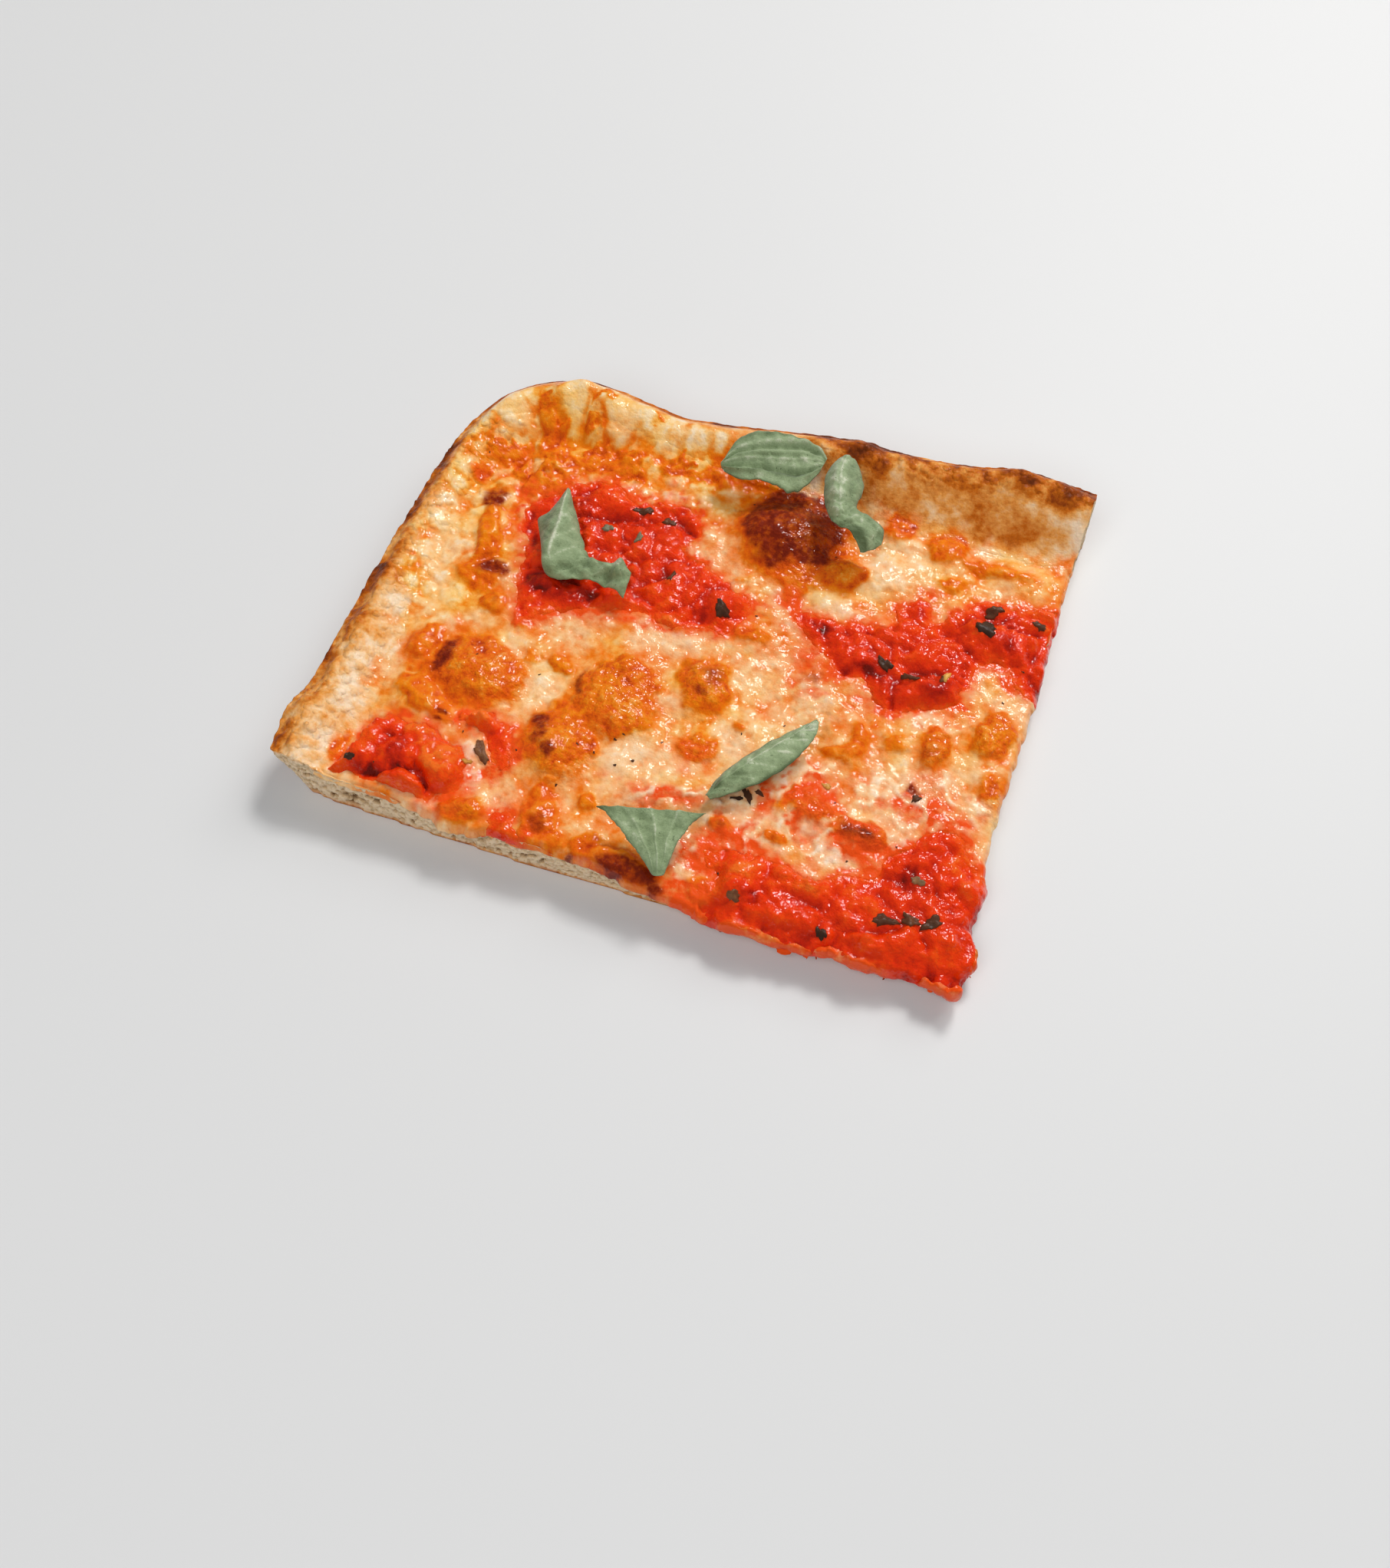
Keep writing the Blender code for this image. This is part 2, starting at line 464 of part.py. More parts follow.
def boundary(faces):
    """The directed edges that only one face has."""
    directed = {(a, b) for face in faces for a, b in zip(face, face[1:] + face[:1])}
    return [(a, b) for a, b in directed if (b, a) not in directed]


def slab(name, kind, points, loops, region, top, bottom):
    """A solid over a plan region, with its top a height function and its base a plane."""
    places, faces = triangulated(points, loops, region)
    rim = sorted(boundary(faces))
    ring = sorted({index for edge in rim for index in edge})
    floor_places, floor_faces = triangulated_within(places, ring, rim, region)
    mesh = bmesh.new()
    used = sorted({index for face in faces for index in face})
    upper = {i: mesh.verts.new((*places[i], top(*places[i]))) for i in used}
    lower = {i: mesh.verts.new((*places[i], bottom(*places[i]))) for i in ring}
    for face in faces:
        mesh.faces.new([upper[i] for i in face])
    for face in floor_faces:
        mesh.faces.new([lower[floor_places[i]] for i in reversed(face)])
    for a, b in rim:
        mesh.faces.new([upper[b], upper[a], lower[a], lower[b]])
    return make_object(name, mesh, kind)


def triangulated_within(places, ring, rim, region):
    """Triangles that use only a region's own edge points, and which point each corner is."""
    order = {index: position for position, index in enumerate(ring)}
    edges = [(order[a], order[b]) for a, b in rim]
    result = delaunay_2d_cdt([Vector(places[i]) for i in ring], edges, [], 0, 1e-7)
    faces = []
    for face in result[2]:
        x = sum(result[0][i][0] for i in face) / 3
        y = sum(result[0][i][1] for i in face) / 3
        if region(x, y):
            faces.append(face)
    return ring, faces


# ----------------------------------------------------------------------------------- dough

def make_dough():
    """Dough with its rims, flat under the toppings and flat underneath."""
    rim = [place[:2] for place in RIM_PATH]
    cuts = spline(FRONT_CUT, EDGE_STEP)[:-1] + spline(RIGHT_CUT, EDGE_STEP)[:-1]
    outline = counter_clockwise(cuts + rim[::-1][:-1])

    def near_rim(x, y):
        return nearest(outline + outline[:1], x, y)[0] > RIM_MARGIN and not inside(POCKET_CORE, x, y)

    places, faces = triangulated(scattered(outline, RIM_GRID, near_rim), [outline],
                                 lambda x, y: inside(outline, x, y))
    mesh = bmesh.new()
    top = [mesh.verts.new((x, y, max(dough_height(x, y), floor_height(x) + POCKET_DEPTH)))
           for x, y in places]
    for face in faces:
        mesh.faces.new([top[i] for i in face])
    count = len(outline)
    above = edge = top[:count]
    base = grown(outline, -PAN_FLARE)
    chance = random.Random(3)
    for level, wobble in ((WALL_MIDDLE, CRUMB_WOBBLE), (0.0, 0.0)):
        ring = []
        for place, foot, vertex in zip(outline, base, edge):
            lean = (1 - level) ** FLARE_BEND if place in rim else 0.0
            x, y = (p + (q - p) * lean + chance.uniform(-wobble, wobble) for p, q in zip(place, foot))
            ring.append(mesh.verts.new((x, y, level * vertex.co.z)))
        for i in range(count):
            j = (i + 1) % count
            mesh.faces.new([above[j], above[i], ring[i], ring[j]])
        above = ring
    mesh.faces.new(list(reversed(above)))
    dough = make_object("dough", mesh, "dough")
    pocket = dough.modifiers.new("pocket", "BOOLEAN")
    pocket.object = make_pocket_cutter()
    pocket.solver = "EXACT"


def make_pocket_cutter():
    """The room that the toppings fill, down to the crumb under them."""
    mesh = bmesh.new()
    lower = [mesh.verts.new((x, y, floor_height(x))) for x, y in POCKET]
    upper = [mesh.verts.new((x, y, CUTTER_TOP)) for x, y in POCKET]
    count = len(POCKET)
    mesh.faces.new(list(reversed(lower)))
    mesh.faces.new(upper)
    for i in range(count):
        j = (i + 1) % count
        mesh.faces.new([lower[i], lower[j], upper[j], upper[i]])
    cutter = make_object("pocket_cutter", mesh, "dough")
    cutter.hide_render = True
    cutter.display_type = "WIRE"
    return cutter


# -------------------------------------------------------------------------------- toppings

def cheese_bottom(x, y):
    """The toppings' flat underside."""
    return floor_height(x) + GAP


def make_cheese():
    """The cheese layer, open where the sauce patches go through it."""
    rooms = [counter_clockwise(grown(outline, GAP)) for outline in PATCHES.values()]

    def region(x, y):
        return inside(TOPPING, x, y) and not any(inside(room, x, y) for room in rooms)

    def room_clear(x, y):
        return region(x, y) and all(nearest(room + room[:1], x, y)[0] > RIM_MARGIN for room in rooms)

    def clear(x, y):
        return room_clear(x, y) and nearest(TOPPING + TOPPING[:1], x, y)[0] > CHEESE_MARGIN

    hem = [place for place in grown(TOPPING, -CHEESE_HEM) if room_clear(*place)]
    points = scattered(TOPPING, CHEESE_GRID, clear) + hem
    return slab("cheese", "cheese", points, [TOPPING] + rooms, region, cheese_height, cheese_bottom)


def make_sauce(name):
    """One patch of crushed tomato, trimmed to the toppings' edge."""
    outline = PATCHES[name]

    def region(x, y):
        return inside(outline, x, y) and inside(TOPPING, x, y)

    def clear(x, y):
        return region(x, y) and all(nearest(edge + edge[:1], x, y)[0] > SAUCE_MARGIN
                                    for edge in (outline, TOPPING))

    points = scattered(outline, SAUCE_GRID, clear)
    top = SAUCE_TOPS[name]
    return slab(name, "sauce", points, [outline, TOPPING], region, top, cheese_bottom)


def make_flake(place, top, number):
    """A charred herb flake: an uneven seven-sided chip that drapes over what it lies on."""
    x, y, length, width, turn = place
    angle = math.radians(turn)
    mesh = bmesh.new()
    rings = ([], [])
    for corner in range(FLAKE_SIDES):
        around = 2 * math.pi * corner / FLAKE_SIDES
        reach = FLAKE_REACH + FLAKE_UNEVEN * math.sin(3.1 * number + 2.3 * corner)
        along, across = length * reach * math.cos(around), width * reach * math.sin(around)
        px = x + along * math.cos(angle) - across * math.sin(angle)
        py = y + along * math.sin(angle) + across * math.cos(angle)
        for ring, level in zip(rings, (-FLAKE_ROOT, FLAKE)):
            ring.append(mesh.verts.new((px, py, top(px, py) + level)))
    lower, upper = rings
    highest = max(top(x, y), top(x + FLAKE_PROBE, y), top(x, y + FLAKE_PROBE))
    crown = mesh.verts.new((x, y, highest + FLAKE_CROWN))
    mesh.faces.new(list(reversed(lower)))
    for i in range(FLAKE_SIDES):
        j = (i + 1) % FLAKE_SIDES
        mesh.faces.new([upper[i], upper[j], crown])
        mesh.faces.new([lower[i], lower[j], upper[j], upper[i]])
    return make_object(f"flake_{number}", mesh, "basil")


def fuse_flakes(piece, places, top):
    """Join the herb flakes to the piece that they lie on with one Boolean union."""
    group = bpy.data.collections.new("flakes")
    bpy.context.scene.collection.children.link(group)
    flakes = [make_flake(place, top, number) for number, place in enumerate(places)]
    for flake in flakes:
        group.objects.link(flake)
    union = piece.modifiers.new("flakes", "BOOLEAN")
    union.operation = "UNION"
    union.operand_type = "COLLECTION"
    union.collection = group
    union.solver = "EXACT"
    graph = bpy.context.evaluated_depsgraph_get()
    joined = bpy.data.meshes.new_from_object(piece.evaluated_get(graph))
    piece.modifiers.clear()
    piece.data = joined
    for flake in flakes:
        bpy.data.objects.remove(flake)
    bpy.data.collections.remove(group)


# ----------------------------------------------------------------------------------- basil

def topping_height(x, y):
    """Top of whatever topping lies at (x, y)."""
    for name, outline in PATCHES.items():
        if inside(outline, x, y):
            return SAUCE_TOPS[name](x, y)
    return cheese_height(x, y)


def make_leaf(name, shape):
    """A thin wavy leaf between its two edges, kept clear of the toppings below it."""
    left, rib, right = (spline(shape[side], 100) for side in ("left", "rib", "right"))
    rows = []
    clearance = GAP + LEAF + LEAF_ROOM
    columns = shape["columns"]
    for row in range(2 * len(rib) - 1):
        rows.append([between(curve, row / 2) for curve in (left, rib, right)])
    mesh = bmesh.new()
    grid = []
    for a, b, c in rows:
        line = []
        for column in range(columns + 1):
            v = 2 * column / columns - 1
            x, y, z = (q * (v - 1) * v / 2 + r * (1 - v * v) + s * (v + 1) * v / 2
                       for q, r, s in zip(a, b, c))
            z += shape["pleat"] * math.cos(math.pi * shape["pleats"] * v)
            line.append((x, y, max(z, highest_near(x, y) + clearance)))
        grid.append(line)
    upper = [[mesh.verts.new(p) for p in line] for line in grid]
    lower = [[mesh.verts.new((x, y, z - LEAF)) for x, y, z in line] for line in grid]
    last = len(grid) - 1
    for r in range(last):
        for c in range(columns):
            for layer, order in ((upper, 1), (lower, -1)):
                p, q, s, t = layer[r][c], layer[r][c + 1], layer[r + 1][c + 1], layer[r + 1][c]
                mesh.faces.new([p, q, s][::order])
                mesh.faces.new([p, s, t][::order])
    loop = ([(0, c) for c in range(columns)] + [(r, columns) for r in range(last)]
            + [(last, c) for c in range(columns, 0, -1)] + [(r, 0) for r in range(last, 0, -1)])
    for (r0, c0), (r1, c1) in zip(loop, loop[1:] + loop[:1]):
        mesh.faces.new([upper[r1][c1], upper[r0][c0], lower[r0][c0], lower[r1][c1]])
    return make_object(name, mesh, "basil")


def between(curve, place):
    """The smooth curve's point at a place counted in its own points."""
    index = min(int(place), len(curve) - 2)
    t = place - index
    a, b = curve[max(index - 1, 0)], curve[index]
    c, d = curve[index + 1], curve[min(index + 2, len(curve) - 1)]
    return tuple(0.5 * (2 * q + (r - p) * t + (2 * p - 5 * q + 4 * r - s) * t ** 2
                        + (3 * q - p - 3 * r + s) * t ** 3)
                 for p, q, r, s in zip(a, b, c, d))


def highest_near(x, y):
    """The highest topping within a small step of (x, y)."""
    steps = (-LEAF_REACH, 0, LEAF_REACH)
    return max(topping_height(x + dx, y + dy) for dx in steps for dy in steps)


# -------------------------------------------------------------------------------- assembly

FRONT_EDGE = spline(TOPPING_FRONT, OUTER_STEP)
RIGHT_EDGE = spline(TOPPING_RIGHT, OUTER_STEP)
INNER_EDGE = spline(TOPPING_INNER, INNER_STEP)
TOPPING = FRONT_EDGE[:-1] + RIGHT_EDGE[:-1] + INNER_EDGE[:-1]
PATCHES = {name: counter_clockwise(closed_spline(points, PATCH_STEP)) for name, points in SAUCE.items()}
SAUCE_TOPS = {name: sauce_height(outline, lumps_in(outline, seed))
              for seed, (name, outline) in enumerate(PATCHES.items())}

POCKET_CORNERS = [(CUTTER_LEFT, CUTTER_FRONT), (CUTTER_RIGHT, CUTTER_FRONT),
                  (CUTTER_RIGHT, TOPPING_INNER[0][1])]
POCKET = grown(counter_clockwise(POCKET_CORNERS[1:] + INNER_EDGE + POCKET_CORNERS[:1]), GAP)
POCKET_CORE = grown(POCKET, -POCKET_CORE_INSET)


def main():
    """Build the slice."""
    for old in list(bpy.data.objects):
        bpy.data.objects.remove(old)
    for name in COLOURS:
        make_material(name)
    holder = bpy.data.objects.new("slice", None)
    holder.location = (-BOX_CENTRE[0] * MM, -BOX_CENTRE[1] * MM, 0)
    bpy.context.scene.collection.objects.link(holder)
    make_dough()
    cheese = make_cheese()
    fuse_flakes(cheese, FLAKES["cheese"], cheese_height)
    for name in SAUCE:
        patch = make_sauce(name)
        if name in FLAKES:
            fuse_flakes(patch, FLAKES[name], SAUCE_TOPS[name])
    for name, shape in BASIL.items():
        make_leaf(name, shape)


main()
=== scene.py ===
import math

import bpy
import numpy as np
from mathutils import Matrix, Vector, noise
from mathutils.bvhtree import BVHTree
from mathutils.geometry import delaunay_2d_cdt


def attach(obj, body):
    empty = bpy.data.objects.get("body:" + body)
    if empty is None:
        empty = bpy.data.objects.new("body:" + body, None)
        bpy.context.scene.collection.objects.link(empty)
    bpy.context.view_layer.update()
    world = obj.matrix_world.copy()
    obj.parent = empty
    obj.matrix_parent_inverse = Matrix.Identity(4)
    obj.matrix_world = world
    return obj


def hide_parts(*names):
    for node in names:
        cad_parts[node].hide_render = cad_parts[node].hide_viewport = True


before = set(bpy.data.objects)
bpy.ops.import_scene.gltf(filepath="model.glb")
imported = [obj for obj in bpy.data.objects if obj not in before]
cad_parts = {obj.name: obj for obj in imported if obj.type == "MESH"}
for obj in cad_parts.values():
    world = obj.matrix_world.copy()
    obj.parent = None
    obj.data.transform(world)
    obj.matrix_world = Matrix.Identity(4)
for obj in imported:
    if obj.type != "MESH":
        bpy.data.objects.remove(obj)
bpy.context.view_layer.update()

# Lengths are millimetres from the datum point, as in the part's source, until a mesh is made.
MM = 0.001
DATUM = (3.7, -3.8)             # the datum point in the part's own frame
STEP = 0.36                     # spacing of the grid that every surface is made on
LEFT, RIGHT, FRONT, BACK = -70.6, 63.6, -54.6, 62.4
FLOOR, FLOOR_SLOPE = 4.4, -0.030    # top of the crumb under the toppings, and its fall towards +X
GAP = 0.3                       # between the crumb and the toppings
PAN_FLARE = 5.0                 # how far the pan's wall leans out
REACH = 16.0                    # how far distances to an edge are worked out
ABOVE = 40.0                    # higher than anything on the slice

XS = np.arange(LEFT, RIGHT, STEP)
YS = np.arange(FRONT, BACK, STEP)
X, Y = np.meshgrid(XS, YS)

SAUCES = [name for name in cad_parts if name.startswith("sauce_")]


# ---- Grid tools

def unit(value):
    """A value kept within 0 to 1."""
    return np.clip(value, 0, 1)


def ease(t):
    """A smooth step from 0 to 1."""
    t = unit(t)
    return t * t * (3 - 2 * t)


def band(value, low, high):
    """A smooth step as value goes from low to high."""
    return ease((value - low) / (high - low))


def mixed(a, b, t):
    """a where t is 0 and b where t is 1."""
    return a + (b - a) * t


def turned(x, y, turn):
    """Places by axes that are turned by an angle in degrees."""
    c, s = math.cos(math.radians(turn)), math.sin(math.radians(turn))
    return x * c + y * s, y * c - x * s


def between(values, i, j, s, t):
    """A table's values at column i and row j, shares s and t of the way to the next ones."""
    low = mixed(values[j, i], values[j, i + 1], s)
    high = mixed(values[j + 1, i], values[j + 1, i + 1], s)
    return mixed(low, high, t)


def sampled(field, x, y):
    """A field's value at any places, straight between grid points."""
    u = np.clip((x - XS[0]) / STEP, 0, len(XS) - 1.001)
    v = np.clip((y - YS[0]) / STEP, 0, len(YS) - 1.001)
    i, j = u.astype(int), v.astype(int)
    return between(field, i, j, u - i, v - j)


def blur(field, sigma):
    """A Gaussian blur over the grid, sigma in mm."""
    reach = int(3 * sigma / STEP) + 1
    kernel = np.exp(-0.5 * (np.arange(-reach, reach + 1) * STEP / sigma) ** 2)
    kernel /= kernel.sum()
    rows, columns = field.shape
    padded = np.pad(field, reach, mode="edge")
    across = sum(k * padded[:, i:i + columns] for i, k in enumerate(kernel))
    return sum(k * across[i:i + rows] for i, k in enumerate(kernel))


def filled(field, sigma):
    """A field with gaps, carried on smoothly into them and blurred by sigma."""
    known = ~np.isnan(field)
    for reach in (16.0, 4.0, 1.5):
        weight = blur(known.astype(float), reach)
        near = blur(np.where(known, field, 0.0), reach) / np.maximum(weight, 1e-12)
        wide = near if reach > 8 else np.where(weight > 0.02, near, wide)
    return blur(np.where(known, field, wide), sigma)


def signed_distance(mask):
    """Distance to a mask's edge in mm, above 0 inside it, up to about REACH."""
    def away(block):
        run = STEP * np.arange(block.shape[1])
        near = np.minimum.accumulate(np.where(block, 0.0, 99.0) - run, 1) + run
        near = np.minimum.accumulate((near + run)[:, ::-1], 1)[:, ::-1] - run
        best = near ** 2
        reach = int(REACH / STEP)
        padded = np.pad(best, ((reach, reach), (0, 0)), constant_values=99.0 ** 2)
        for shift in range(-reach, reach + 1):
            best = np.minimum(best, padded[reach + shift:][:len(near)] + (shift * STEP) ** 2)
        return np.sqrt(best)
    return blur(away(~mask) - away(mask), 0.35)


def carried(mask, area):
    """A mask carried on straight past the front and right ends of an area."""
    rows, columns = np.indices(mask.shape)
    first = np.where(area.any(0), area.argmax(0) + 2, 0)
    mask = np.where(rows < first, mask[first, columns[0]], mask)
    last = area.shape[1] - 1 - area[:, ::-1].argmax(1)
    last = np.where(area.any(1), last, last[area.any(1)].max()) - 2
    return np.where(columns > last[:, None], mask[rows[:, 0], last][:, None], mask)


def lattice(size, seed, turn):
    """Smooth noise of about -1 to 1 with features `size` mm across."""
    u, v = turned(X / size, Y / size, turn)
    i, j = np.floor(u).astype(int), np.floor(v).astype(int)
    s, t = ease(u - i), ease(v - j)
    i, j = i - i.min(), j - j.min()
    values = np.random.default_rng(seed).uniform(-1, 1, (j.max() + 2, i.max() + 2))
    return between(values, i, j, s, t)


def rough(size, seed, octaves=3, fade=0.55):
    """Noise of several sizes, each half as large as the one before and turned from it."""
    total = sum(fade ** k * lattice(size / 2 ** k, seed + 7 * k, 33 * k + 11) for k in range(octaves))
    return total / sum(fade ** k for k in range(octaves)) * 1.5


# Places nudged about, so that drawn outlines come out uneven.
BENT_X = X + 1.1 * rough(7.0, 11) + 0.45 * rough(2.4, 12)
BENT_Y = Y + 1.1 * rough(7.0, 13) + 0.45 * rough(2.4, 14)


def spot(x, y, length, width, turn=0):
    """Distance from a place in units of an ellipse's own size, bent a little."""
    along_it, across_it = turned(BENT_X - x, BENT_Y - y, turn)
    return np.hypot(along_it / length, across_it / width)


def blotch(x, y, length, width, strength=1, turn=0):
    """One blotch: `strength` at its middle, half of that at its edge."""
    return strength / (1 + spot(x, y, length, width, turn) ** 4)


def blotches(places, uneven, seed, size=3.0):
    """How far blotches cover the grid."""
    return np.max([blotch(*place) for place in places], axis=0) + uneven * rough(size, seed, 4, 0.65)


def patchy(places, uneven, soft, seed, size=3.0):
    """A mask of blotches."""
    return band(blotches(places, uneven, seed, size), 0.5 - soft, 0.5 + soft)


def cells(size, seed, stretch=1.0, turn=0):
    """Scattered cells about `size` mm apart: distance to the nearest one's middle and how much
    farther the next one is, both in sizes, and a random share of 0 to 1 for each cell."""
    u, v = turned(BENT_X, BENT_Y, turn)
    u, v = u / (size * stretch), v / size
    i, j = np.floor(u).astype(int), np.floor(v).astype(int)
    table = np.random.default_rng(seed).random((3, np.ptp(j) + 3, np.ptp(i) + 3))
    first, second, share = np.full(X.shape, 9.0), np.full(X.shape, 9.0), np.zeros(X.shape)
    for dj in (-1, 0, 1):
        for di in (-1, 0, 1):
            a, b, chance = table[:, j + dj - j.min() + 1, i + di - i.min() + 1]
            away = np.hypot(i + di + 0.1 + 0.8 * a - u, j + dj + 0.1 + 0.8 * b - v)
            closer = away < first
            second = np.where(closer, first, np.minimum(second, away))
            share = np.where(closer, chance, share)
            first = np.where(closer, away, first)
    return first, second - first, share


def bubbles(size, seed, fullness=0.62, missing=-1.0):
    """Round bumps of 0 to 1 and of uneven height, a share of them missing."""
    first, _, share = cells(size, seed)
    reach = fullness * (0.55 + 0.45 * share)
    dome = np.sqrt(unit(1 - (first / reach) ** 2))
    return band(share, missing, missing + 0.1) * (0.25 + 0.75 * share) * dome


def billows(size, seed, octaves=2):
    """Soft lumps of about 0 to 1 with winding creases between them."""
    return np.sqrt(rough(size, seed, octaves, 0.45) ** 2 + 0.006)


def rounded(edge, radius):
    """How far a surface drops where it rolls over a cut edge."""
    return radius * (1 - np.sqrt(unit(1 - (1 - unit(edge / radius)) ** 2)))


# ---- The frame's heights

def top_of(name):
    """Height of a CAD node's top over the grid, nan where it isn't."""
    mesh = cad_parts[name].data
    places = [(v.co.x / MM - DATUM[0], v.co.y / MM - DATUM[1], v.co.z / MM) for v in mesh.vertices]
    tree = BVHTree.FromPolygons(places, [tuple(p.vertices) for p in mesh.polygons])
    low, high = np.min(places, axis=0), np.max(places, axis=0)
    field = np.full(X.shape, np.nan)
    for j in np.nonzero((YS > low[1]) & (YS < high[1]))[0]:
        for i in np.nonzero((XS > low[0]) & (XS < high[0]))[0]:
            hit = tree.ray_cast(Vector((XS[i], YS[j], ABOVE)), Vector((0, 0, -1)))[0]
            if hit:
                field[j, i] = hit.z
    return field


CAD_TOP = {name: top_of(name) for name in ["dough", "cheese"] + SAUCES}

tomato = np.any([~np.isnan(CAD_TOP[name]) for name in SAUCES], axis=0)
topping = ~np.isnan(CAD_TOP["cheese"]) | (signed_distance(tomato) > -0.6)
in_sauce = {name: signed_distance(carried(~np.isnan(CAD_TOP[name]), topping)) for name in SAUCES}
sauce_depth = sampled(np.max(list(in_sauce.values()), axis=0), BENT_X, BENT_Y)
on_dough = ~np.isnan(CAD_TOP["dough"])
in_topping = signed_distance(topping)
in_dough = signed_distance(on_dough)
in_rim = signed_distance(carried(on_dough, on_dough))       # from the rims' outer edge only

bare = np.where(on_dough & (in_topping < -0.3), CAD_TOP["dough"], np.nan)
surface_base = filled(np.where(in_topping > 1.5, CAD_TOP["cheese"], bare), 0.9)
surface_base = mixed(surface_base, blur(surface_base, 2.0), np.exp(-(in_topping / 3.5) ** 2))
sauce_base = np.full(X.shape, np.nan)
for patch in SAUCES:
    sauce_base = np.where(np.isnan(CAD_TOP[patch]), sauce_base, CAD_TOP[patch])
sauce_base = filled(sauce_base, 0.9)

# Where the toppings end at a cut, and where they thin out over the crust.
at_cut = band(in_dough, 6.0, 3.5)
wide_topping = (in_topping > -1.9) & (on_dough | (in_topping > 0))
overhang = 0.2 + 3.2 * band(X, -8, 9) + 1.7 * band(np.abs(X + 31), 5, 2.5) + 0.6 * rough(3.0, 142)
topping_edge = np.minimum(signed_distance(wide_topping), in_dough + overhang)
joint = in_topping + 0.6 * rough(2.0, 141)
rim_share = band(joint, 1.5, -2.5)
hump = band(X, -4, -14) * band(Y, 18, 30)           # the puffed corner

# ---- Where colours lie

# Blotches: X, Y, half length, half width, then strength if not 1, then turn in degrees if any.
ORANGE = [
    (-40, -17, 9, 7, 1, -15), (-50.5, -14, 2.4, 5, .9), (-46, -25.5, 7, 3, .95, -25),
    (-13.5, -15.5, 7.5, 8.5), (-14, -7, 2.6, 2.6, .9), (-25.5, -11, 3, 1.8, .85, -20),
    (-6.5, -19, 2.4, 2.2, .8), (-20, -27, 6.5, 7.5, 1, 20), (-18, -42, 2.6, 6, .9, 10),
    (-16, -47, 4, 2.6, .85), (.8, -7.2, 5.2, 6, 1, 15), (6, 5.6, 3.4, 2, .85, 10), (-43, -2, 2.6, 3, .9),
    (-50, 14, 2.6, 9, .95, 12), (-47, 4, 4.6, 5, .8), (6, 33, 12, 11.5), (18, 26, 5, 4, .95, 5),
    (35.5, 40, 4, 4, .95), (45, 36.5, 7, 2, .9, -8), (25.5, 41, 3.4, 4, .8), (44, -8, 2.8, 4.6, 1, 8),
    (52.5, -2, 4.4, 5, .95), (55, -13, 2.4, 4, .7), (30.5, -11.5, 2.6, 4.4, .8), (28, -14.5, 4, 1.8, .8),
    (37, -8, 3, 3, .6), (26, -26.5, 6, 3.6, .8, -8), (35, -29, 4.4, 3, .95), (12.5, -34.5, 2.6, 2, .8),
    (22, -34.5, 2.2, 1.6, .8), (4, -20, 4.4, 3.4, .75), (10, -13.5, 2, 1.4, .5), (-2, -47, 8, 2.6),
    (-10.5, -37.5, 2.4, 1.8, .8), (-9, -45, 3, 3, .75), (-31, -46, 4, 3, .9), (9.5, 20, 2.6, 5, .8, 20),
    (1, 20, 4, 2, .6, 20), (38, 31, 3, 2, .7), (-45, 33, 7, 7), (-48, 46, 3.4, 9, .95, 20),
    (-38, 47, 2.6, 8), (-27, 45, 3, 7, .9), (-20, 44, 4, 5, .8), (-30, 39, 6, 4, .9), (-54, 36, 4, 3, .8),
    (-57, 30, 4, 6, .6), (-36, 40, 5, 4, .85), (-12, 42, 7, 3, .8), (-57, -40, 1.6, 4, .8),
    (-45, -47, 4, 1.4, .5), (-31, -10, 2, 3, .5), (0, 44, 16, 2.4, .9), (-36, -3, 3, 4, .5),
    (14, -47, 5, 4, .55), (45, 24, 3, 2, .4), (51, 10, 3, 3, .5), (-8, 4.5, 5, 2, .5)]
PALE = [
    (-8, -26, 5, 7, .9, 10), (-27, -16, 4.5, 5, .95), (-31, -21.5, 5, 1.4, 1, 25), (27, 31, 5, 5, 1, 20),
    (16, 18.5, 6, 3.4, .9), (-8, 1.5, 8, 3, .9, 8), (10, -3, 7, 4, .7), (-29, -40, 5, 2, 1, -55),
    (-24, -44, 4, 2, .8, -30), (-53, 12, 2.4, 6, .7, 12), (-57, 8, 3, 7, .9, 10), (-53, -2, 4, 4, .9),
    (-36, -7, 3.6, 3.4, .8), (-15, -1, 5, 3, .6), (-11, 22, 3.4, 3, .9), (2, 15, 4, 2, .7, -20),
    (54, 7, 4, 4, .9), (38, -18, 4, 4, .7), (38, -25, 6, 2.2, .8), (50, -10, 2.6, 5, .7),
    (45, 41.5, 8, 2, .8), (35, 20, 2, 4, .6), (24, 24, 4, 4, .8), (33, 33, 5, 4, .7),
    (-56, 45, 2.6, 5, .9, 35), (-44.5, 50, 2.4, 5, .9, 15), (-33, 50, 3, 6, .95), (-24.5, 48, 2, 4, .7),
    (-48, 38, 2, 5, .8, 10), (-18, 40, 3, 5, .6), (-12, 35, 4, 3, .6), (-2, -27, 5, 6, .6),
    (-52, -22, 4, 1.6, .9, -10), (14, -30, 3, 6, .8, 15), (29, -30, 3, 5, .8), (31, -34.5, 5, 2, .8),
    (-1, -39, 3, 1.6, .5), (-10, -42, 3, 2, .6), (26, -5, 6, 4, .5), (39, 13, 2.6, 3.4, .9),
    (8, -17, 6, 4.5, .8, 20), (-57, 30, 3.4, 5, .8), (26, -26, 3, 3, .8), (3, -22, 3, 3, .7),
    (-8, -32, 3, 4, .7), (47, 33, 6, 1.4, .6), (57, 3, 1.6, 8, .7), (56.5, -22, 1.4, 5, .8),
    (10, -8, 4, 4, .5), (-34, 3, .8, 2, .5), (40, -1, 4, 1.4, .7), (49, 1, 1.4, 5, .6)]
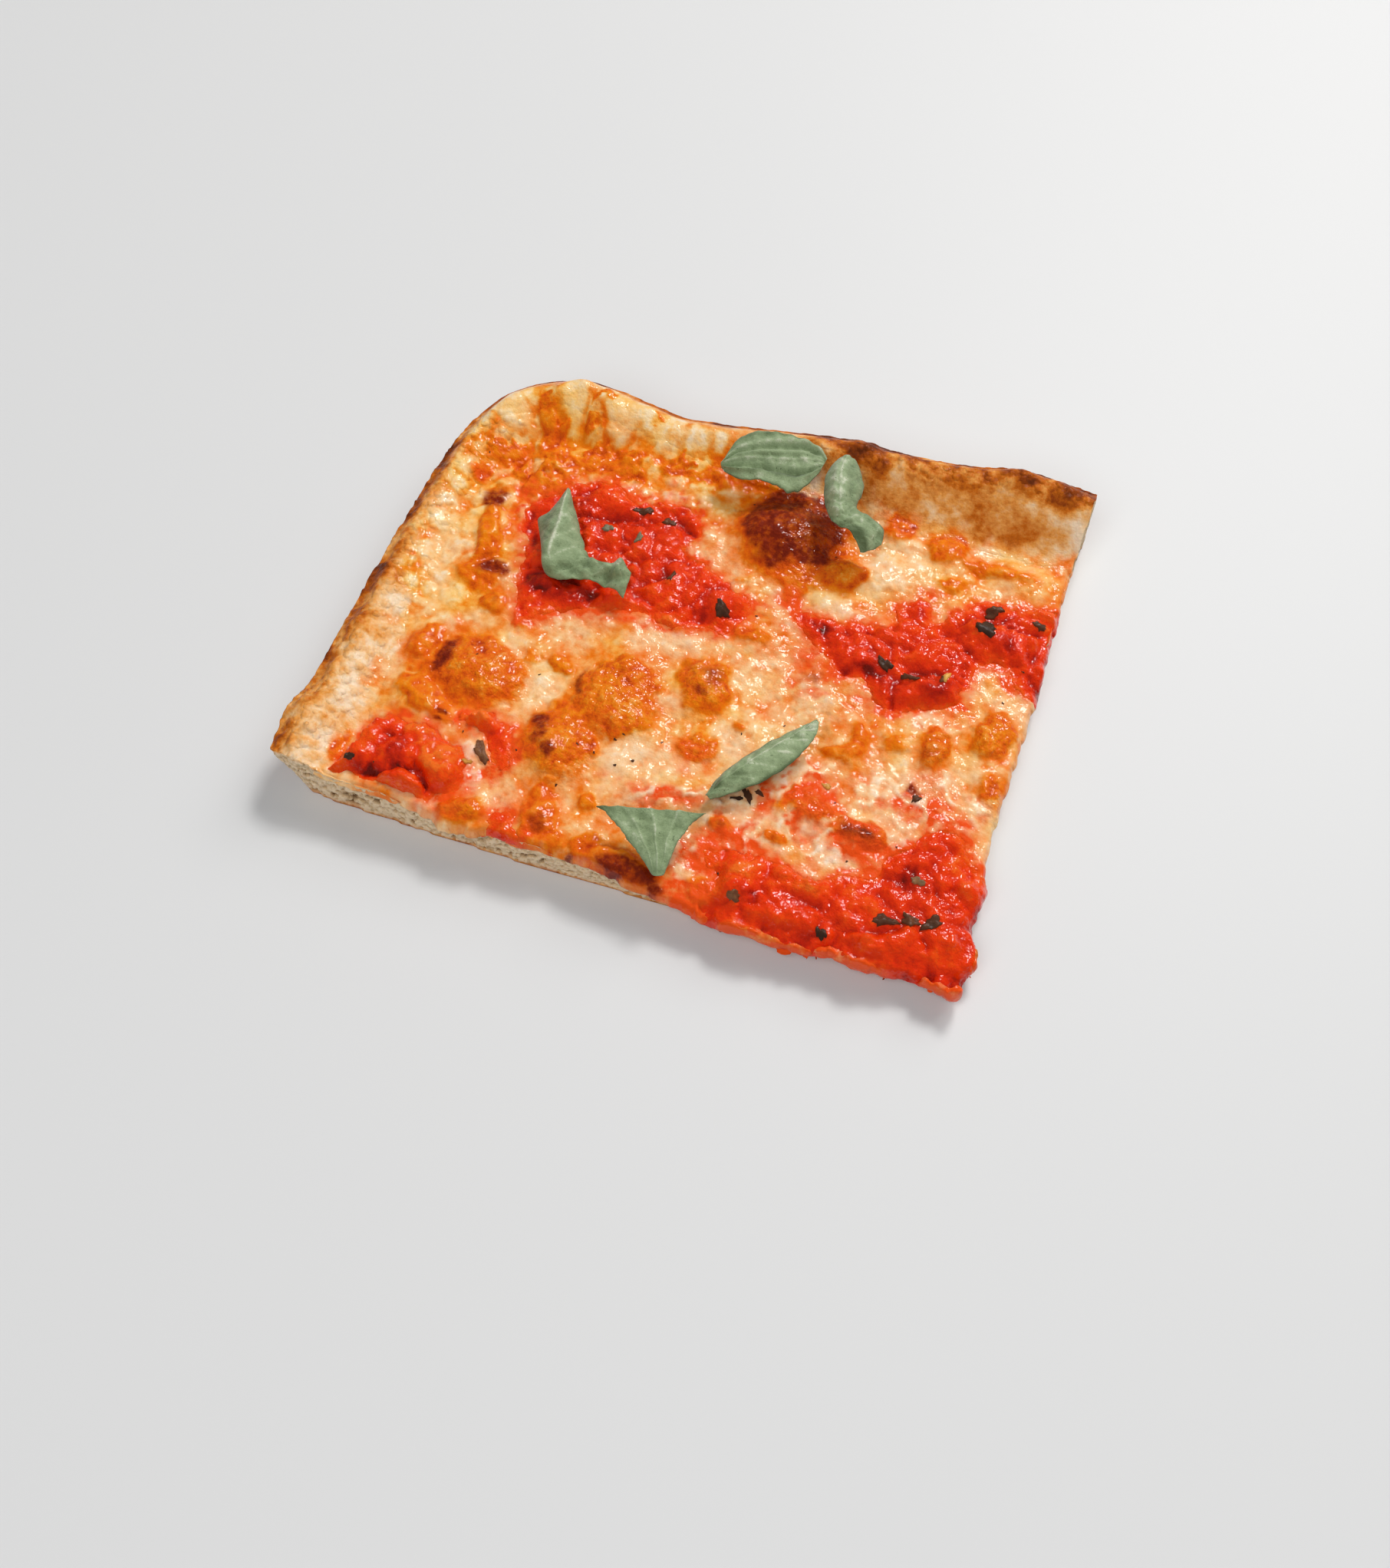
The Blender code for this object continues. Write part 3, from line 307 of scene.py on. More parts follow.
# Burnt spots, and painted shade on the sides of blisters that face away from the light.
BURN_AND_SHADE = [
    (-46.5, -16, 1.6, 4.4), (-40, -22, 3, 1, .5, -20), (-24, -24.5, 2.6, 1.6, .75, -15),
    (-23, -28, 1.6, 4, .65, 10), (-20.5, -31, 1.6, 2.6, .8), (-20.5, -14, .9, 5, .6), (-45, 6, 3, 2.8),
    (-52.5, 22.5, 2.8, 3), (1.5, -6, 2.4, 3, .6), (0, -10, 2, 1.4, .6), (0, -47.6, 5.4, 1.8),
    (5.5, -49, 2, 1, .8), (-17.5, -44, 1.4, 2, .6), (42.6, -17.5, 1, 1.2, .9), (35, -29.5, 3, 1.6, .7),
    (43.5, -10, 2, 2, .5), (-10, -48.4, 1.4, .8, .8), (19, 1, 2, 2.4, .5), (45, -6, 1, 2, .4),
    (-41.5, -27.5, 1.2, .6, .9), (-41.5, -29.2, 1.2, .5, .8), (12.5, -34.5, 1.4, 1, .5),
    (22, -34.5, 1.2, .9, .5), (-43, -2, 1, 1.4, .5), (36, 41, 1.6, 1.4, .4)]
STAIN = [
    (17, 1.5, 4.4, 5.4, .9, 10), (4, -22, 7, 5, .6), (23, -25, 9, 6, .75), (-3, -32, 9, 4, .6),
    (26, -7, 6, 4, .5), (-36, 0, 3, 5, .8), (-26, 3, 9, 2.4, .9), (-13, 3, 5, 1.4, .6),
    (-29, -37.5, 3, 3, .7), (-26, -33, 3, 3, .8), (10, 16, 3, 3, .8), (36, -31, 8, 4, .9),
    (15, -38, 7, 3, .8), (8, -43, 5, 4, .8), (44, -21, 5, 3, .7), (54, 12, 3, 3, .7), (-47, 27, 3, 4, .8),
    (-30, 34, 10, 2.6, .7), (-15, 33, 6, 3, .6), (-46, 38, 3, 6, .5), (-56, 28, 4, 5, .5),
    (5, 12, 2.4, 4, .7), (52, 37, 6, 2.4, .6), (-8, 20, 3, 2, .6), (-50, -30.5, 4, 1, .8, 10),
    (-36, -46, 6, 3, .8), (-21, -46, 5, 3, .7), (9, -28, 5, 4, .5), (39, -36, 8, 2, .8), (48, 14, 3, 3, .7),
    (32, -2, 8, 2, .8), (36, 28, 5, 1.4, .6), (46, 2, 2, 2, .6), (-18, 36, 2, 4, .6), (35, 38, 3, 2, .5),
    (7, 24, 3, 1.4, .5)]
GRAIN = [
    (-39, -17, 8.5, 6, .8, -15), (-13, -15, 7.5, 8), (-19, -29, 5.5, 6.5, 1, 20), (.8, -7.2, 4.6, 5.4, .9),
    (11, 31, 6, 8.5), (18, 26, 4.4, 3.4, .7), (44, -8, 2.4, 4, .8), (52.5, -2, 4, 5, .8),
    (4, -20, 4, 3, .7), (26, -26, 5, 4, .7), (35, -29, 4, 3, .8), (56, -14, 2, 6, .6), (-28, -33, 4, 3, .7),
    (-31, -46, 4, 3, .5), (45, -17, 4, 4, .5)]
MILKY = [
    (15, -33, 6, 6), (29, -30, 9, 6), (22, -23, 9, 5, .9), (41, -29, 5, 5, .9), (46, -17, 5, 5, .8),
    (36, -20, 6, 4, .8), (9, -42, 4, 4, .7), (-34, -36, 2.5, 5, .8, 30), (2, -31, 6, 3, .6),
    (42, -1, 5, 3, .7), (20, -3, 5, 4, .5), (53, -18, 3, 5, .6)]

stain = patchy(STAIN, 0.30, 0.26, 41, 4.0)
blister = blotches(ORANGE, 0.20, 21) * (1 - hump * band(rough(3.6, 22), -0.1, 0.5))
orange = band(blister, 0.38, 0.62)
heart = band(blister, 0.58, 1.0)
pale = patchy(PALE, 0.26, 0.24, 31, 4.2)
char = band(spot(6, 34, 11, 10.8) + 0.10 * rough(3.0, 52), 1.04, 0.86)      # the large burnt blister
# Burns and painted shade together.
burn = np.maximum(patchy(BURN_AND_SHADE, 0.16, 0.36, 51, 2.4), char)
grain = patchy(GRAIN, 0.16, 0.34, 61)
milky = patchy(MILKY, 0.25, 0.40, 71, 4.0)
streaks = band(billows(4.2, 91, 4), 0.42, 0.12)         # winding pale streaks
puffy = np.maximum(band(X, -42, -48) * band(Y, -12, -4), hump)      # cream puffs in amber oil
_, gap_between, _ = cells(5.2, 93)
puffs = band(gap_between + 0.30 * rough(2.0, 94), 0.10, 0.55)

# The tomato's edge wanders, and the melted cheese stains red beside it.
lip = sauce_depth + 1.2 * rough(4.6, 121, 4, 0.8) + 0.35 * rough(1.4, 122, 2)
lip = np.minimum(lip, 1.7 * (in_dough - 1.7) + 1.2 * rough(3.0, 123) + 9 * band(X, -34, -29))
lip = np.minimum(lip, 4.0 * (spot(-31.5, -46.5, 5, 4.5) - 1))
ooze = unit(np.exp(-np.clip(-lip, 0, 9) / 1.5) * np.clip(1.0 + 0.7 * rough(3.0, 72), 0.3, 1.3))
strip = band(X, -18, -24) * band(in_dough, 3.4, 1.6)        # cheese alone along the cut
drip = band(X, 2, 10) * band(Y, -25, -36) * band(in_dough, 3.5, 0.5)    # sauce over the front cut

TONE = (0.36 + 0.10 * rough(9.0, 81) + 0.21 * rough(3.2, 82, 4, 0.75) + 0.20 * blur(orange, 2.2)
        - 0.30 * (puffs - 0.5) * (0.25 + 0.75 * puffy))
TONE = mixed(TONE, 0.18 + 0.10 * rough(3.4, 83), 0.85 * pale * (1 - 0.75 * orange))
fried = (0.72 + 0.10 * band(blister, 0.5, 0.62) * (1 - heart) + 0.05 * rough(7.0, 85)
         + 0.14 * rough(1.8, 84, 4, 0.7))
TONE = mixed(TONE, fried, 0.96 * orange)
TONE = mixed(TONE, 0.12 + 0.10 * rough(3.0, 88), milky * (1 - orange) * (0.25 + 0.7 * streaks))
seep = milky * (1 - streaks) * (1 - 0.8 * pale) * (0.9 + 1.0 * rough(3.4, 89, 4, 0.75))
RED = unit(1.4 * drip + 0.55 * stain * (1 - 0.7 * streaks) + 1.05 * ooze * (1 - 0.8 * strip) + 0.62 * seep)
AMBER = unit(0.30 + 0.55 * rough(6.0, 86) + 0.45 * puffy + 0.50 * orange - 0.8 * milky)

# ---- Fine heights

smooth_char = band(spot(-1.0, 31.0, 6.5, 9.0), 1.05, 0.75)      # the glassy side of the large burn
grainy = unit(grain * (1 - smooth_char) + 0.25 * orange)

rim_side = band(X, -46, -54) * band(Y, 48, 38)      # the left rim
rim_back = band(Y, 43, 49) * band(X, 2, 8)          # the back rim, right of the leaves
bubbly = np.maximum(rim_side * band(in_rim, 14, 8), rim_back * band(in_rim, 10.0, 6.0))
bubbly = unit(np.maximum(bubbly, 0.12) * (0.85 + 0.5 * rough(5.0, 105)))
rim_bubbles = (0.34 * bubbles(1.6, 101, 0.60, 0.0) + 0.42 * bubbles(2.5, 102, 0.50, 0.35)
               + 0.40 * bubbles(3.8, 106, 0.38, 0.6))
rim_detail = bubbly * (1 - 0.5 * rim_back) * rim_bubbles + 0.20 * rough(6.0, 104)

cheese_detail = (
    0.32 * rough(5.0, 111) + 0.20 * rough(1.9, 112, 3, 0.7) + 0.25 * puffy * puffs
    + grainy * (0.20 * bubbles(1.3, 113) + 0.34 * bubbles(2.4, 114, 0.6))
    + 0.42 * orange + 0.55 * heart * (1 - 0.3 * grain) - 0.15 * pale
    - 0.30 * bubbles(2.6, 119, 0.26, 0.70) * (1 - orange)
    + hump * (0.45 * rough(4.2, 107, 2) + 0.4 * blur(pale, 0.8) - 0.5 * blur(orange, 0.8))
    + milky * (0.25 * billows(2.2, 116) + 0.2 * bubbles(2.8, 117) + 0.25 * streaks)
    - 0.9 * unit(1 - spot(-45, 6, 1.9, 1.8) ** 2))
SURFACE = surface_base + mixed(cheese_detail, rim_detail, rim_share)

# The tomato's pulp lies in soft uneven lumps with creases between them, the largest at the
# front left: X, Y, half length, half width, turn.
LUMPS = [
    (-50, -33.3, 5, 3.3, -5), (-43.3, -33.6, 4.3, 3.6, 0), (-37.3, -38.3, 5, 3.8, -25),
    (-52, -39, 4.4, 3.8, 0), (-46, -39.6, 3.5, 3.4, 20), (-56, -43, 2.8, 2.6, 0), (-43, -45, 4, 2.6, 0),
    (-35, -27, 4.5, 2.2, -10)]
lumps = np.zeros(X.shape)
for place in LUMPS:
    lumps = np.maximum(lumps, np.sqrt(unit(1 - 0.75 * (spot(*place) + 0.16 * rough(2.8, 136)) ** 2)))
chunky = band(X, -28, -33) * band(Y, -22, -26)
_, crease, lump_share = cells(8.4, 131, 1.35, 25)
lumps = mixed((1 - np.exp(-2.6 * crease)) * (0.35 + 0.65 * lump_share), 1.35 * lumps, chunky)
sauce_detail = (1.9 * lumps + (1.1 - 0.6 * chunky) * billows(4.4, 132) + 0.42 * billows(1.9, 134, 3)
                + 0.20 * rough(1.1, 135) + 0.30 * rough(6.0, 133) - 1.55)

cheese_top = (SURFACE - 1.1 * band(lip, 0.2, 1.4) - at_cut * rounded(topping_edge, 1.3)
              - 0.4 * (1 - at_cut) * band(joint, -0.2, -1.5))
sauce_top = (mixed(SURFACE, sauce_base + sauce_detail, band(lip, -0.4, 2.2)) - 1.0 * band(lip, 0.2, -1.0)
             - at_cut * rounded(topping_edge, 1.5))
dough_top = SURFACE - 0.4 * band(joint, -0.9, 0.5) - (0.5 + 1.4 * at_cut) * band(in_topping, 0.3, 1.8)
TOP = np.max([np.where((topping_edge > 0) & (lip < 1.7), cheese_top, 0),
              np.where((topping_edge > 0) & (lip > -1.3), sauce_top, 0),
              np.where(in_dough > 0, dough_top, 0)], axis=0)

# How a place lies against what is round it: above 0 on a bump, below in a hollow.
rise = SURFACE - blur(SURFACE, 1.1)
sauce_rise = sauce_top - blur(sauce_top, 1.5)

BROWNED = [
    (-66.5, -3, 3, 4, .9), (-66.5, -22, 2, 3, .8), (-66.5, 15, 2.4, 7, .7), (-65, 31, 2.4, 5, .9),
    (-60, -2, 4, 3, .5), (-62, 8, 2.4, 4, .4), (-61, 25, 3, 4, .5), (15, 56, 6, 4), (24, 55, 5, 3, .9),
    (47, 57, 6, 4, .9), (56, 56, 5, 3, .9), (8, 57, 5, 3, .8), (35, 56, 6, 3, .6), (20, 51, 4, 2, .5),
    (-14, 55, 4, 2, .8), (-50, 56, 4, 2.4, .8, 30), (-43, 57, 4, 2, .7), (-66.5, -42, 1.6, 4, .5),
    (52, 53, 6, 2, .5), (-66, -12, 2, 4, .5)]
GOLDEN = [(35, 47, 28, 8, .45), (21, 46, 9, 4, .9), (45, 47, 9, 4), (12, 49, 4, 4, .8), (34, 49, 6, 3, .7)]
browned = patchy(BROWNED, 0.25, 0.35, 151, 3.5)
golden = patchy(GOLDEN, 0.15, 0.35, 152, 5.0)
roll = band(X, -4, 6) * band(in_rim + 1.6 * rough(5.0, 157), 11.5, 7.5)   # the browned crest at the back
BROWN = (0.18 + 0.24 * rough(4.0, 153, 4, 0.7) * (1 - 0.4 * golden) + 0.34 * browned
         + (0.40 * band(in_rim, 7.0, 0.8) - 0.12 * rim_back + 0.40 * golden) * (1 - roll)
         + (0.36 + 0.12 * rough(2.6, 158)) * roll
         + np.clip(rise, -0.4, 0.4) * mixed(-0.45, 0.30, unit(1.6 * bubbly) * (1 - roll)))
GLAZE = unit(band(in_topping + 4.2 * rough(6.0, 154, 4, 0.7), -3.4, -0.2)
             + 1.3 * hump * band(in_dough + 1.5 * rough(3.0, 155), 1.5, 5.0))
# Burns and painted shade, with the large burn's right side painted lighter as a painted sheen.
BURN_SHADE_SHEEN = burn * unit(0.88 + 0.12 * rough(2.5, 156) - 0.12 * band(spot(9.5, 34, 5, 8), 1.2, 0.6))
BAKED = {"brown": BROWN, "glaze": GLAZE, "tone": TONE - 0.35 * np.clip(rise, -0.3, 0.3), "stain": RED,
         "burn": BURN_SHADE_SHEEN, "grain": unit(grainy + 0.3 * rim_share), "amber": AMBER, "beads": unit(1.4 * bubbly)}


# ---- Meshing

def sheet(domain, fields):
    """Points and triangles over the grid where domain > 0, its edge cut along the zero line."""
    index = np.arange(X.size).reshape(X.shape)
    a, b, c, d = index[:-1, :-1], index[:-1, 1:], index[1:, 1:], index[1:, :-1]
    odd = np.indices(a.shape).sum(0) % 2 == 1
    corners = [(a, b, c, ~odd), (a, c, d, ~odd), (a, b, d, odd), (b, c, d, odd)]
    triangles = np.concatenate([np.stack([p[use], q[use], r[use]], 1) for p, q, r, use in corners])

    def cut(p, q):
        """The key of the point where the edge of two grid points is cut."""
        return X.size * (np.minimum(p, q) + 1) + np.maximum(p, q)

    value = domain.ravel()
    within = value[triangles] > 0
    count = within.sum(1)
    faces = [triangles[count == 3]]
    for corners_in in (1, 2):
        chosen = count == corners_in
        first = (within[chosen] == (corners_in == 1)).argmax(1)[:, None]
        p, q, r = np.take_along_axis(triangles[chosen], (first + np.arange(3)) % 3, 1).T
        if corners_in == 1:
            faces.append(np.stack([p, cut(p, q), cut(p, r)], 1))
        else:
            faces += [np.stack([cut(p, q), q, r], 1), np.stack([cut(p, q), r, cut(p, r)], 1)]
    keys, faces = np.unique(np.concatenate(faces), return_inverse=True)
    low, high = np.where(keys < X.size, keys, keys // X.size - 1), keys % X.size
    fall = np.where(low == high, 1.0, value[low] - value[high])
    share = np.clip(value[low] / fall, 0.08, 0.92)
    data = {key: mixed(field.ravel()[low], field.ravel()[high], share) for key, field in fields.items()}
    return data, faces.reshape(-1, 3)


def loops_of(faces):
    """The closed edges of a sheet, each with the sheet on its left."""
    edges = np.concatenate([faces[:, [0, 1]], faces[:, [1, 2]], faces[:, [2, 0]]])
    size = faces.max() + 1
    forward = edges[:, 0] * size + edges[:, 1]
    open_edges = edges[~np.isin(forward, edges[:, 1] * size + edges[:, 0])]
    following = {int(a): int(b) for a, b in open_edges}
    loops = []
    while following:
        first, place = following.popitem()
        loop = [first]
        while place != first and place in following:
            loop.append(place)
            place = following.pop(place)
        if len(loop) > 12:
            loops.append(np.array(loop))
    return loops


def outward(x, y):
    """Unit normals of a closed loop, pointing away from what is on its left."""
    dx, dy = (sum(np.roll(v, -k) - np.roll(v, k) for k in (1, 2, 3)) for v in (x, y))
    length = np.maximum(np.hypot(dx, dy), 1e-9)
    return dy / length, -dx / length


def wall(above, below):
    """Triangles between two closed rings of as many points."""
    after, under = np.roll(above, -1, -1), np.roll(below, -1, -1)
    return [np.stack([corner.ravel() for corner in three], 1)
            for three in ((after, above, below), (after, below, under))]


def cap(x, y, rings):
    """Triangles, facing down, that close a solid between its lowest rings."""
    coords, edges, order = [], [], []
    for ring in rings:
        first = len(coords)
        coords += [Vector((x[i], y[i])) for i in ring]
        edges += [(first + i, first + (i + 1) % len(ring)) for i in range(len(ring))]
        order += list(ring)
    places, _, faces, sources = delaunay_2d_cdt(coords, edges, [], 0, 1e-6)[:4]
    faces = np.array([face for face in faces if all(sources[i] for i in face)])
    mid_x, mid_y = np.array([tuple(p) for p in places])[faces].mean(1).T
    crossed = np.zeros(len(faces), int)         # how many edges lie to the right of each triangle
    for a, b in edges:
        (x0, y0), (x1, y1) = coords[a], coords[b]
        if y0 != y1:
            crossed += ((y0 > mid_y) != (y1 > mid_y)) & (mid_x < x0 + (mid_y - y0) * (x1 - x0) / (y1 - y0))
    source = np.array([order[s[0]] if s else -1 for s in sources])
    return source[faces[crossed % 2 == 1][:, ::-1]]


def added(name, data):
    """A new object in the scene."""
    thing = bpy.data.objects.new(name, data)
    bpy.context.scene.collection.objects.link(thing)
    return thing


def make_piece(name, data, faces, look):
    """A smooth mesh with its fields as attributes, riding on the slice."""
    mesh = bpy.data.meshes.new(name)
    coords = np.stack([(data["x"] + DATUM[0]) * MM, (data["y"] + DATUM[1]) * MM, data["z"] * MM], 1)
    mesh.vertices.add(len(coords))
    mesh.vertices.foreach_set("co", coords.ravel())
    mesh.loops.add(faces.size)
    mesh.loops.foreach_set("vertex_index", faces.ravel().astype(np.int32))
    mesh.polygons.add(len(faces))
    mesh.polygons.foreach_set("loop_start", np.arange(0, faces.size, 3, dtype=np.int32))
    mesh.update(calc_edges=True)
    mesh.validate()
    for key in sorted(set(data) - {"x", "y", "z"}):
        field = mesh.attributes.new(key, "FLOAT", "POINT")
        field.data.foreach_set("value", data[key].astype(np.float32))
    mesh.shade_smooth()
    mesh.materials.append(look)
    piece = added(name, mesh)
    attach(piece, "root")
    return piece


def solid(name, domain, fields, levels, side, look, room=None):
    """A closed solid: a sheet for its top, sides by a profile function, and a flat base. With
    `room`, a hole in the sheet is a pocket down to that height and the base runs on under it."""
    data, faces = sheet(domain, {"x": X, "y": Y, **fields})
    columns = {key: [value] for key, value in data.items()}
    blocks, rings, pockets, count = [faces], [], [], len(data["x"])
    for loop in loops_of(faces):
        edge = {key: value[loop] for key, value in data.items()}
        x, y = edge["x"], edge["y"]
        nx, ny = outward(x, y)
        pocket = room is not None and np.sum(x * np.roll(y, -1) - y * np.roll(x, -1)) < 0
        above = loop
        for level in range(1, levels + 1):
            if pocket:
                ring = {**edge, "z": mixed(edge["z"], room, level / levels)}
            else:
                ring = side(edge, nx, ny, level / levels)
            below = np.arange(count, count + len(loop))
            count += len(loop)
            for key in columns:
                columns[key].append(ring[key])
            blocks += wall(above, below)
            above = below
        (pockets if pocket else rings).append(above)
    data = {key: np.concatenate(value) for key, value in columns.items()}
    blocks.append(cap(data["x"], data["y"], rings))
    if pockets:
        blocks.append(cap(data["x"], data["y"], pockets)[:, ::-1])
    return make_piece(name, data, np.concatenate(blocks), look)


def wobble(x, y, z, size, seed):
    """Noise of about -1 to 1 at places in the round."""
    places = np.stack(np.broadcast_arrays(x / size, y / size, z / size + seed), -1)
    values = [noise.noise(Vector(place)) for place in places.reshape(-1, 3)]
    return np.reshape(values, places.shape[:-1])


# ---- Materials

class Look:
    """A node material, put together socket by socket."""

    def __init__(self, name, **constants):
        self.material = bpy.data.materials.new(name)
        self.material.use_nodes = True
        self.tree = self.material.node_tree
        self.shader = self.tree.nodes["Principled BSDF"]
        self.places = self.add("TexCoord", "Object")
        for key, value in constants.items():
            self.shader.inputs[key.replace("_", " ")].default_value = value

    def put(self, socket, value):
        """Set a socket to a value, or link it to an output or to a mesh's field by name."""
        if isinstance(value, str):
            value = self.add("Attribute", "Fac", attribute_name=value)
        if isinstance(value, bpy.types.NodeSocket):
            self.tree.links.new(value, socket)
        else:
            socket.default_value = value

    def add(self, kind, output=0, sockets=(), **settings):
        node = self.tree.nodes.new("ShaderNode" + kind)
        for key, value in settings.items():
            setattr(node, key, value)
        for key, value in dict(sockets).items():
            self.put(node.inputs[key], value)
        return node.outputs[output]

    def scaled(self, value, factor, offset=0.0, clamp=False):
        """A value times a factor, plus an offset."""
        sockets = {0: value, 1: factor, 2: offset}
        return self.add("Math", 0, sockets, operation="MULTIPLY_ADD", use_clamp=clamp)

    def noise(self, size, detail=2.0, gain=0.5):
        """Noise about 0.5 with features `size` mm across."""
        sockets = {"Vector": self.places, "Scale": 1 / (size * MM), "Detail": detail, "Roughness": gain}
        return self.add("TexNoise", "Fac", sockets)

    def around(self, value, amount, *texture):
        """A value with an amount of noise added to it, both ways."""
        return self.scaled(self.noise(*texture), amount, self.scaled(value, 1.0, -amount / 2))

    def beads(self, size):
        """Round beads about `size` mm across, 1 on top and falling to their edges."""
        places = self.add("TexNoise", "Color", {"Vector": self.places, "Scale": 400.0})
        places = self.add("VectorMath", 0, {0: places, 1: (MM, MM, MM), 2: self.places},
                          operation="MULTIPLY_ADD")
        far = self.add("TexVoronoi", "Distance", {"Vector": places, "Scale": 1 / (size * MM)})
        far = self.scaled(far, 1.75)
        return self.scaled(far, self.scaled(far, -1.0), 1.0, clamp=True)

    def ramp(self, share, stops):
        """Colours by a share of 0 to 1, from stops of share, red, green and blue."""
        node = self.tree.nodes.new("ShaderNodeValToRGB")
        self.put(node.inputs[0], share)
        elements = node.color_ramp.elements
        while len(elements) < len(stops):
            elements.new(0.5)
        for element, (place, *colour) in zip(elements, stops):
            element.position = place
            element.color = (*colour, 1.0)
        return node.outputs[0]

    def blend(self, share, a, b):
        """Colour a where share is 0 and b where it is 1."""
        return self.add("Mix", 2, {0: share, 6: a, 7: b}, data_type="RGBA")

    def bump(self, *layers):
        """Bump from layers of height, strength and depth in mm, each on the one before. The wet
        coat follows the first layer only."""
        normals = []
        for height, strength, depth in layers:
            sockets = {"Height": height, "Strength": strength, "Distance": depth * MM}
            if normals:
                sockets["Normal"] = normals[-1]
            normals.append(self.add("Bump", 0, sockets))
        self.put(self.shader.inputs["Coat Normal"], normals[0])
        self.put(self.shader.inputs["Normal"], normals[-1])

    def finish(self, colour, roughness):
        self.put(self.shader.inputs["Base Color"], colour)
        self.put(self.shader.inputs["Roughness"], roughness)
        return self.material


# Colours by tone: place on the ramp, red, green, blue.
CHEESE_TONES = [(0, .91, .72, .52), (.15, .89, .57, .31), (.3, .86, .42, .175), (.45, .82, .27, .075),
                (.6, .79, .17, .012), (.75, .74, .1, .001), (.9, .62, .068, .001), (1, .42, .036, .001)]
AMBER_TONES = [(0, .89, .69, .42), (.2, .88, .54, .18), (.4, .84, .37, .055), (.6, .8, .21, .002),
               (.8, .72, .115, .001), (1, .45, .04, .001)]
# Colours of burns, also used for the painted shade on blisters' sides.
BURN_SHADE_TONES = [(0, .62, .1, .002), (.35, .46, .05, .001), (.7, .3, .026, .001), (1, .17, .012, .002)]
CRUST_TONES = [(0, .86, .66, .45), (.22, .83, .49, .22), (.42, .75, .31, .065), (.62, .54, .135, .009),
               (.82, .29, .056, .006), (1, .13, .026, .006)]
# The crumb's darkest tone is painted shade in its holes.
CRUMB_TONES = [(0, .8, .62, .42), (.4, .56, .38, .21), (1, .13, .06, .022)]
SAUCE_TONES = [(0, .16, .006, .002), (.25, .42, .01, .001), (.5, .68, .026, .001), (.72, .78, .042, .001),
               (.88, .81, .078, .003), (1, .84, .15, .012)]
LEAF_TONES = [(0, .1, .14, .06), (.4, .22, .29, .145), (.7, .31, .39, .215), (1, .6, .63, .46)]
HERB_TONES = [(0, .04, .02, .012), (.45, .12, .042, .018), (.75, .26, .12, .05), (1, .17, .16, .095)]
SEED_TONES = [(0, .45, .16, .02), (1, .8, .45, .1)]
STAIN_COLOUR = (0.79, 0.075, 0.006, 1.0)


def baked_colour(look):
    """Browned dough, and the cheese that runs over it by its tone, stains, and burns with painted shade and
    sheen.
    """
    grains = look.scaled(look.noise(0.8, 3.0, 0.7), 1.0, -0.5)
    tone = look.scaled(grains, look.scaled("grain", 0.55), look.around("tone", 0.60, 1.8, 6.0, 0.70))
    melted = look.blend(look.scaled("amber", 1.0, clamp=True), look.ramp(tone, CHEESE_TONES),
                        look.ramp(tone, AMBER_TONES))
    stain = look.scaled("stain", look.around(1.0, 2.4, 2.4, 4.0, 0.6), clamp=True)
    burn = look.scaled("burn", look.around(1.0, 1.2, 1.2, 4.0, 0.6))
    colour = look.blend(look.scaled(burn, 1.2, -0.06, clamp=True), look.blend(stain, melted, STAIN_COLOUR),
                        look.ramp(burn, BURN_SHADE_TONES))
    crust = look.ramp(look.around("brown", 0.75, 1.8, 5.0, 0.65), CRUST_TONES)
    return look.blend(look.scaled("glaze", 1.0, clamp=True), crust, colour)


def baked_look(name, cut_open):
    """Oily melted cheese and baked crust, which run into each other, and dry crumb where cut open."""
    look = Look(name, Coat_Roughness=0.05, Subsurface_Weight=0.12, IOR=1.45,
                Subsurface_Radius=(1.0, 0.45, 0.2), Subsurface_Scale=0.0014, Specular_IOR_Level=0.10)
    wet = look.scaled(look.noise(1.4, 2.0, 0.6), look.scaled("grain", 0.55, 0.55))
    grains = look.scaled(look.noise(0.7, 3.0, 0.6), "grain")
    look.bump((wet, 1.0, 0.38), (grains, 0.7, 0.25), (look.scaled(look.beads(1.7), "beads"), 1.0, 0.28))
    colour, roughness = baked_colour(look), look.around(0.42, 0.3, 2.2, 3.0)
    coat = look.scaled("glaze", look.scaled("grain", 0.24, 0.42), 0.04)
    if cut_open:
        # Dry crumb, painted darker in its holes and pores as shade.
        crumb = look.ramp(look.around("pit", 0.9, 0.8, 5.0, 0.75), CRUMB_TONES)
        colour, roughness = look.blend("crumb", colour, crumb), look.scaled("crumb", 0.35, roughness)
        coat = look.scaled(coat, look.scaled("crumb", -1.0, 1.0))
    look.put(look.shader.inputs["Coat Weight"], coat)
    return look.finish(colour, roughness)


def sauce_look():
    look = Look("crushed_tomato", Coat_Weight=0.75, Coat_Roughness=0.06, Subsurface_Weight=0.2, IOR=1.42,
                Subsurface_Radius=(1.0, 0.2, 0.08), Subsurface_Scale=0.0016, Specular_IOR_Level=0.12)
    look.bump((look.noise(1.2, 2.0, 0.6), 1.0, 0.36), (look.noise(0.5), 0.5, 0.16))
    colour = look.ramp(look.around("fresh", 0.62, 1.8, 6.0, 0.68), SAUCE_TONES)
    return look.finish(colour, look.around(0.30, 0.18, 1.8))


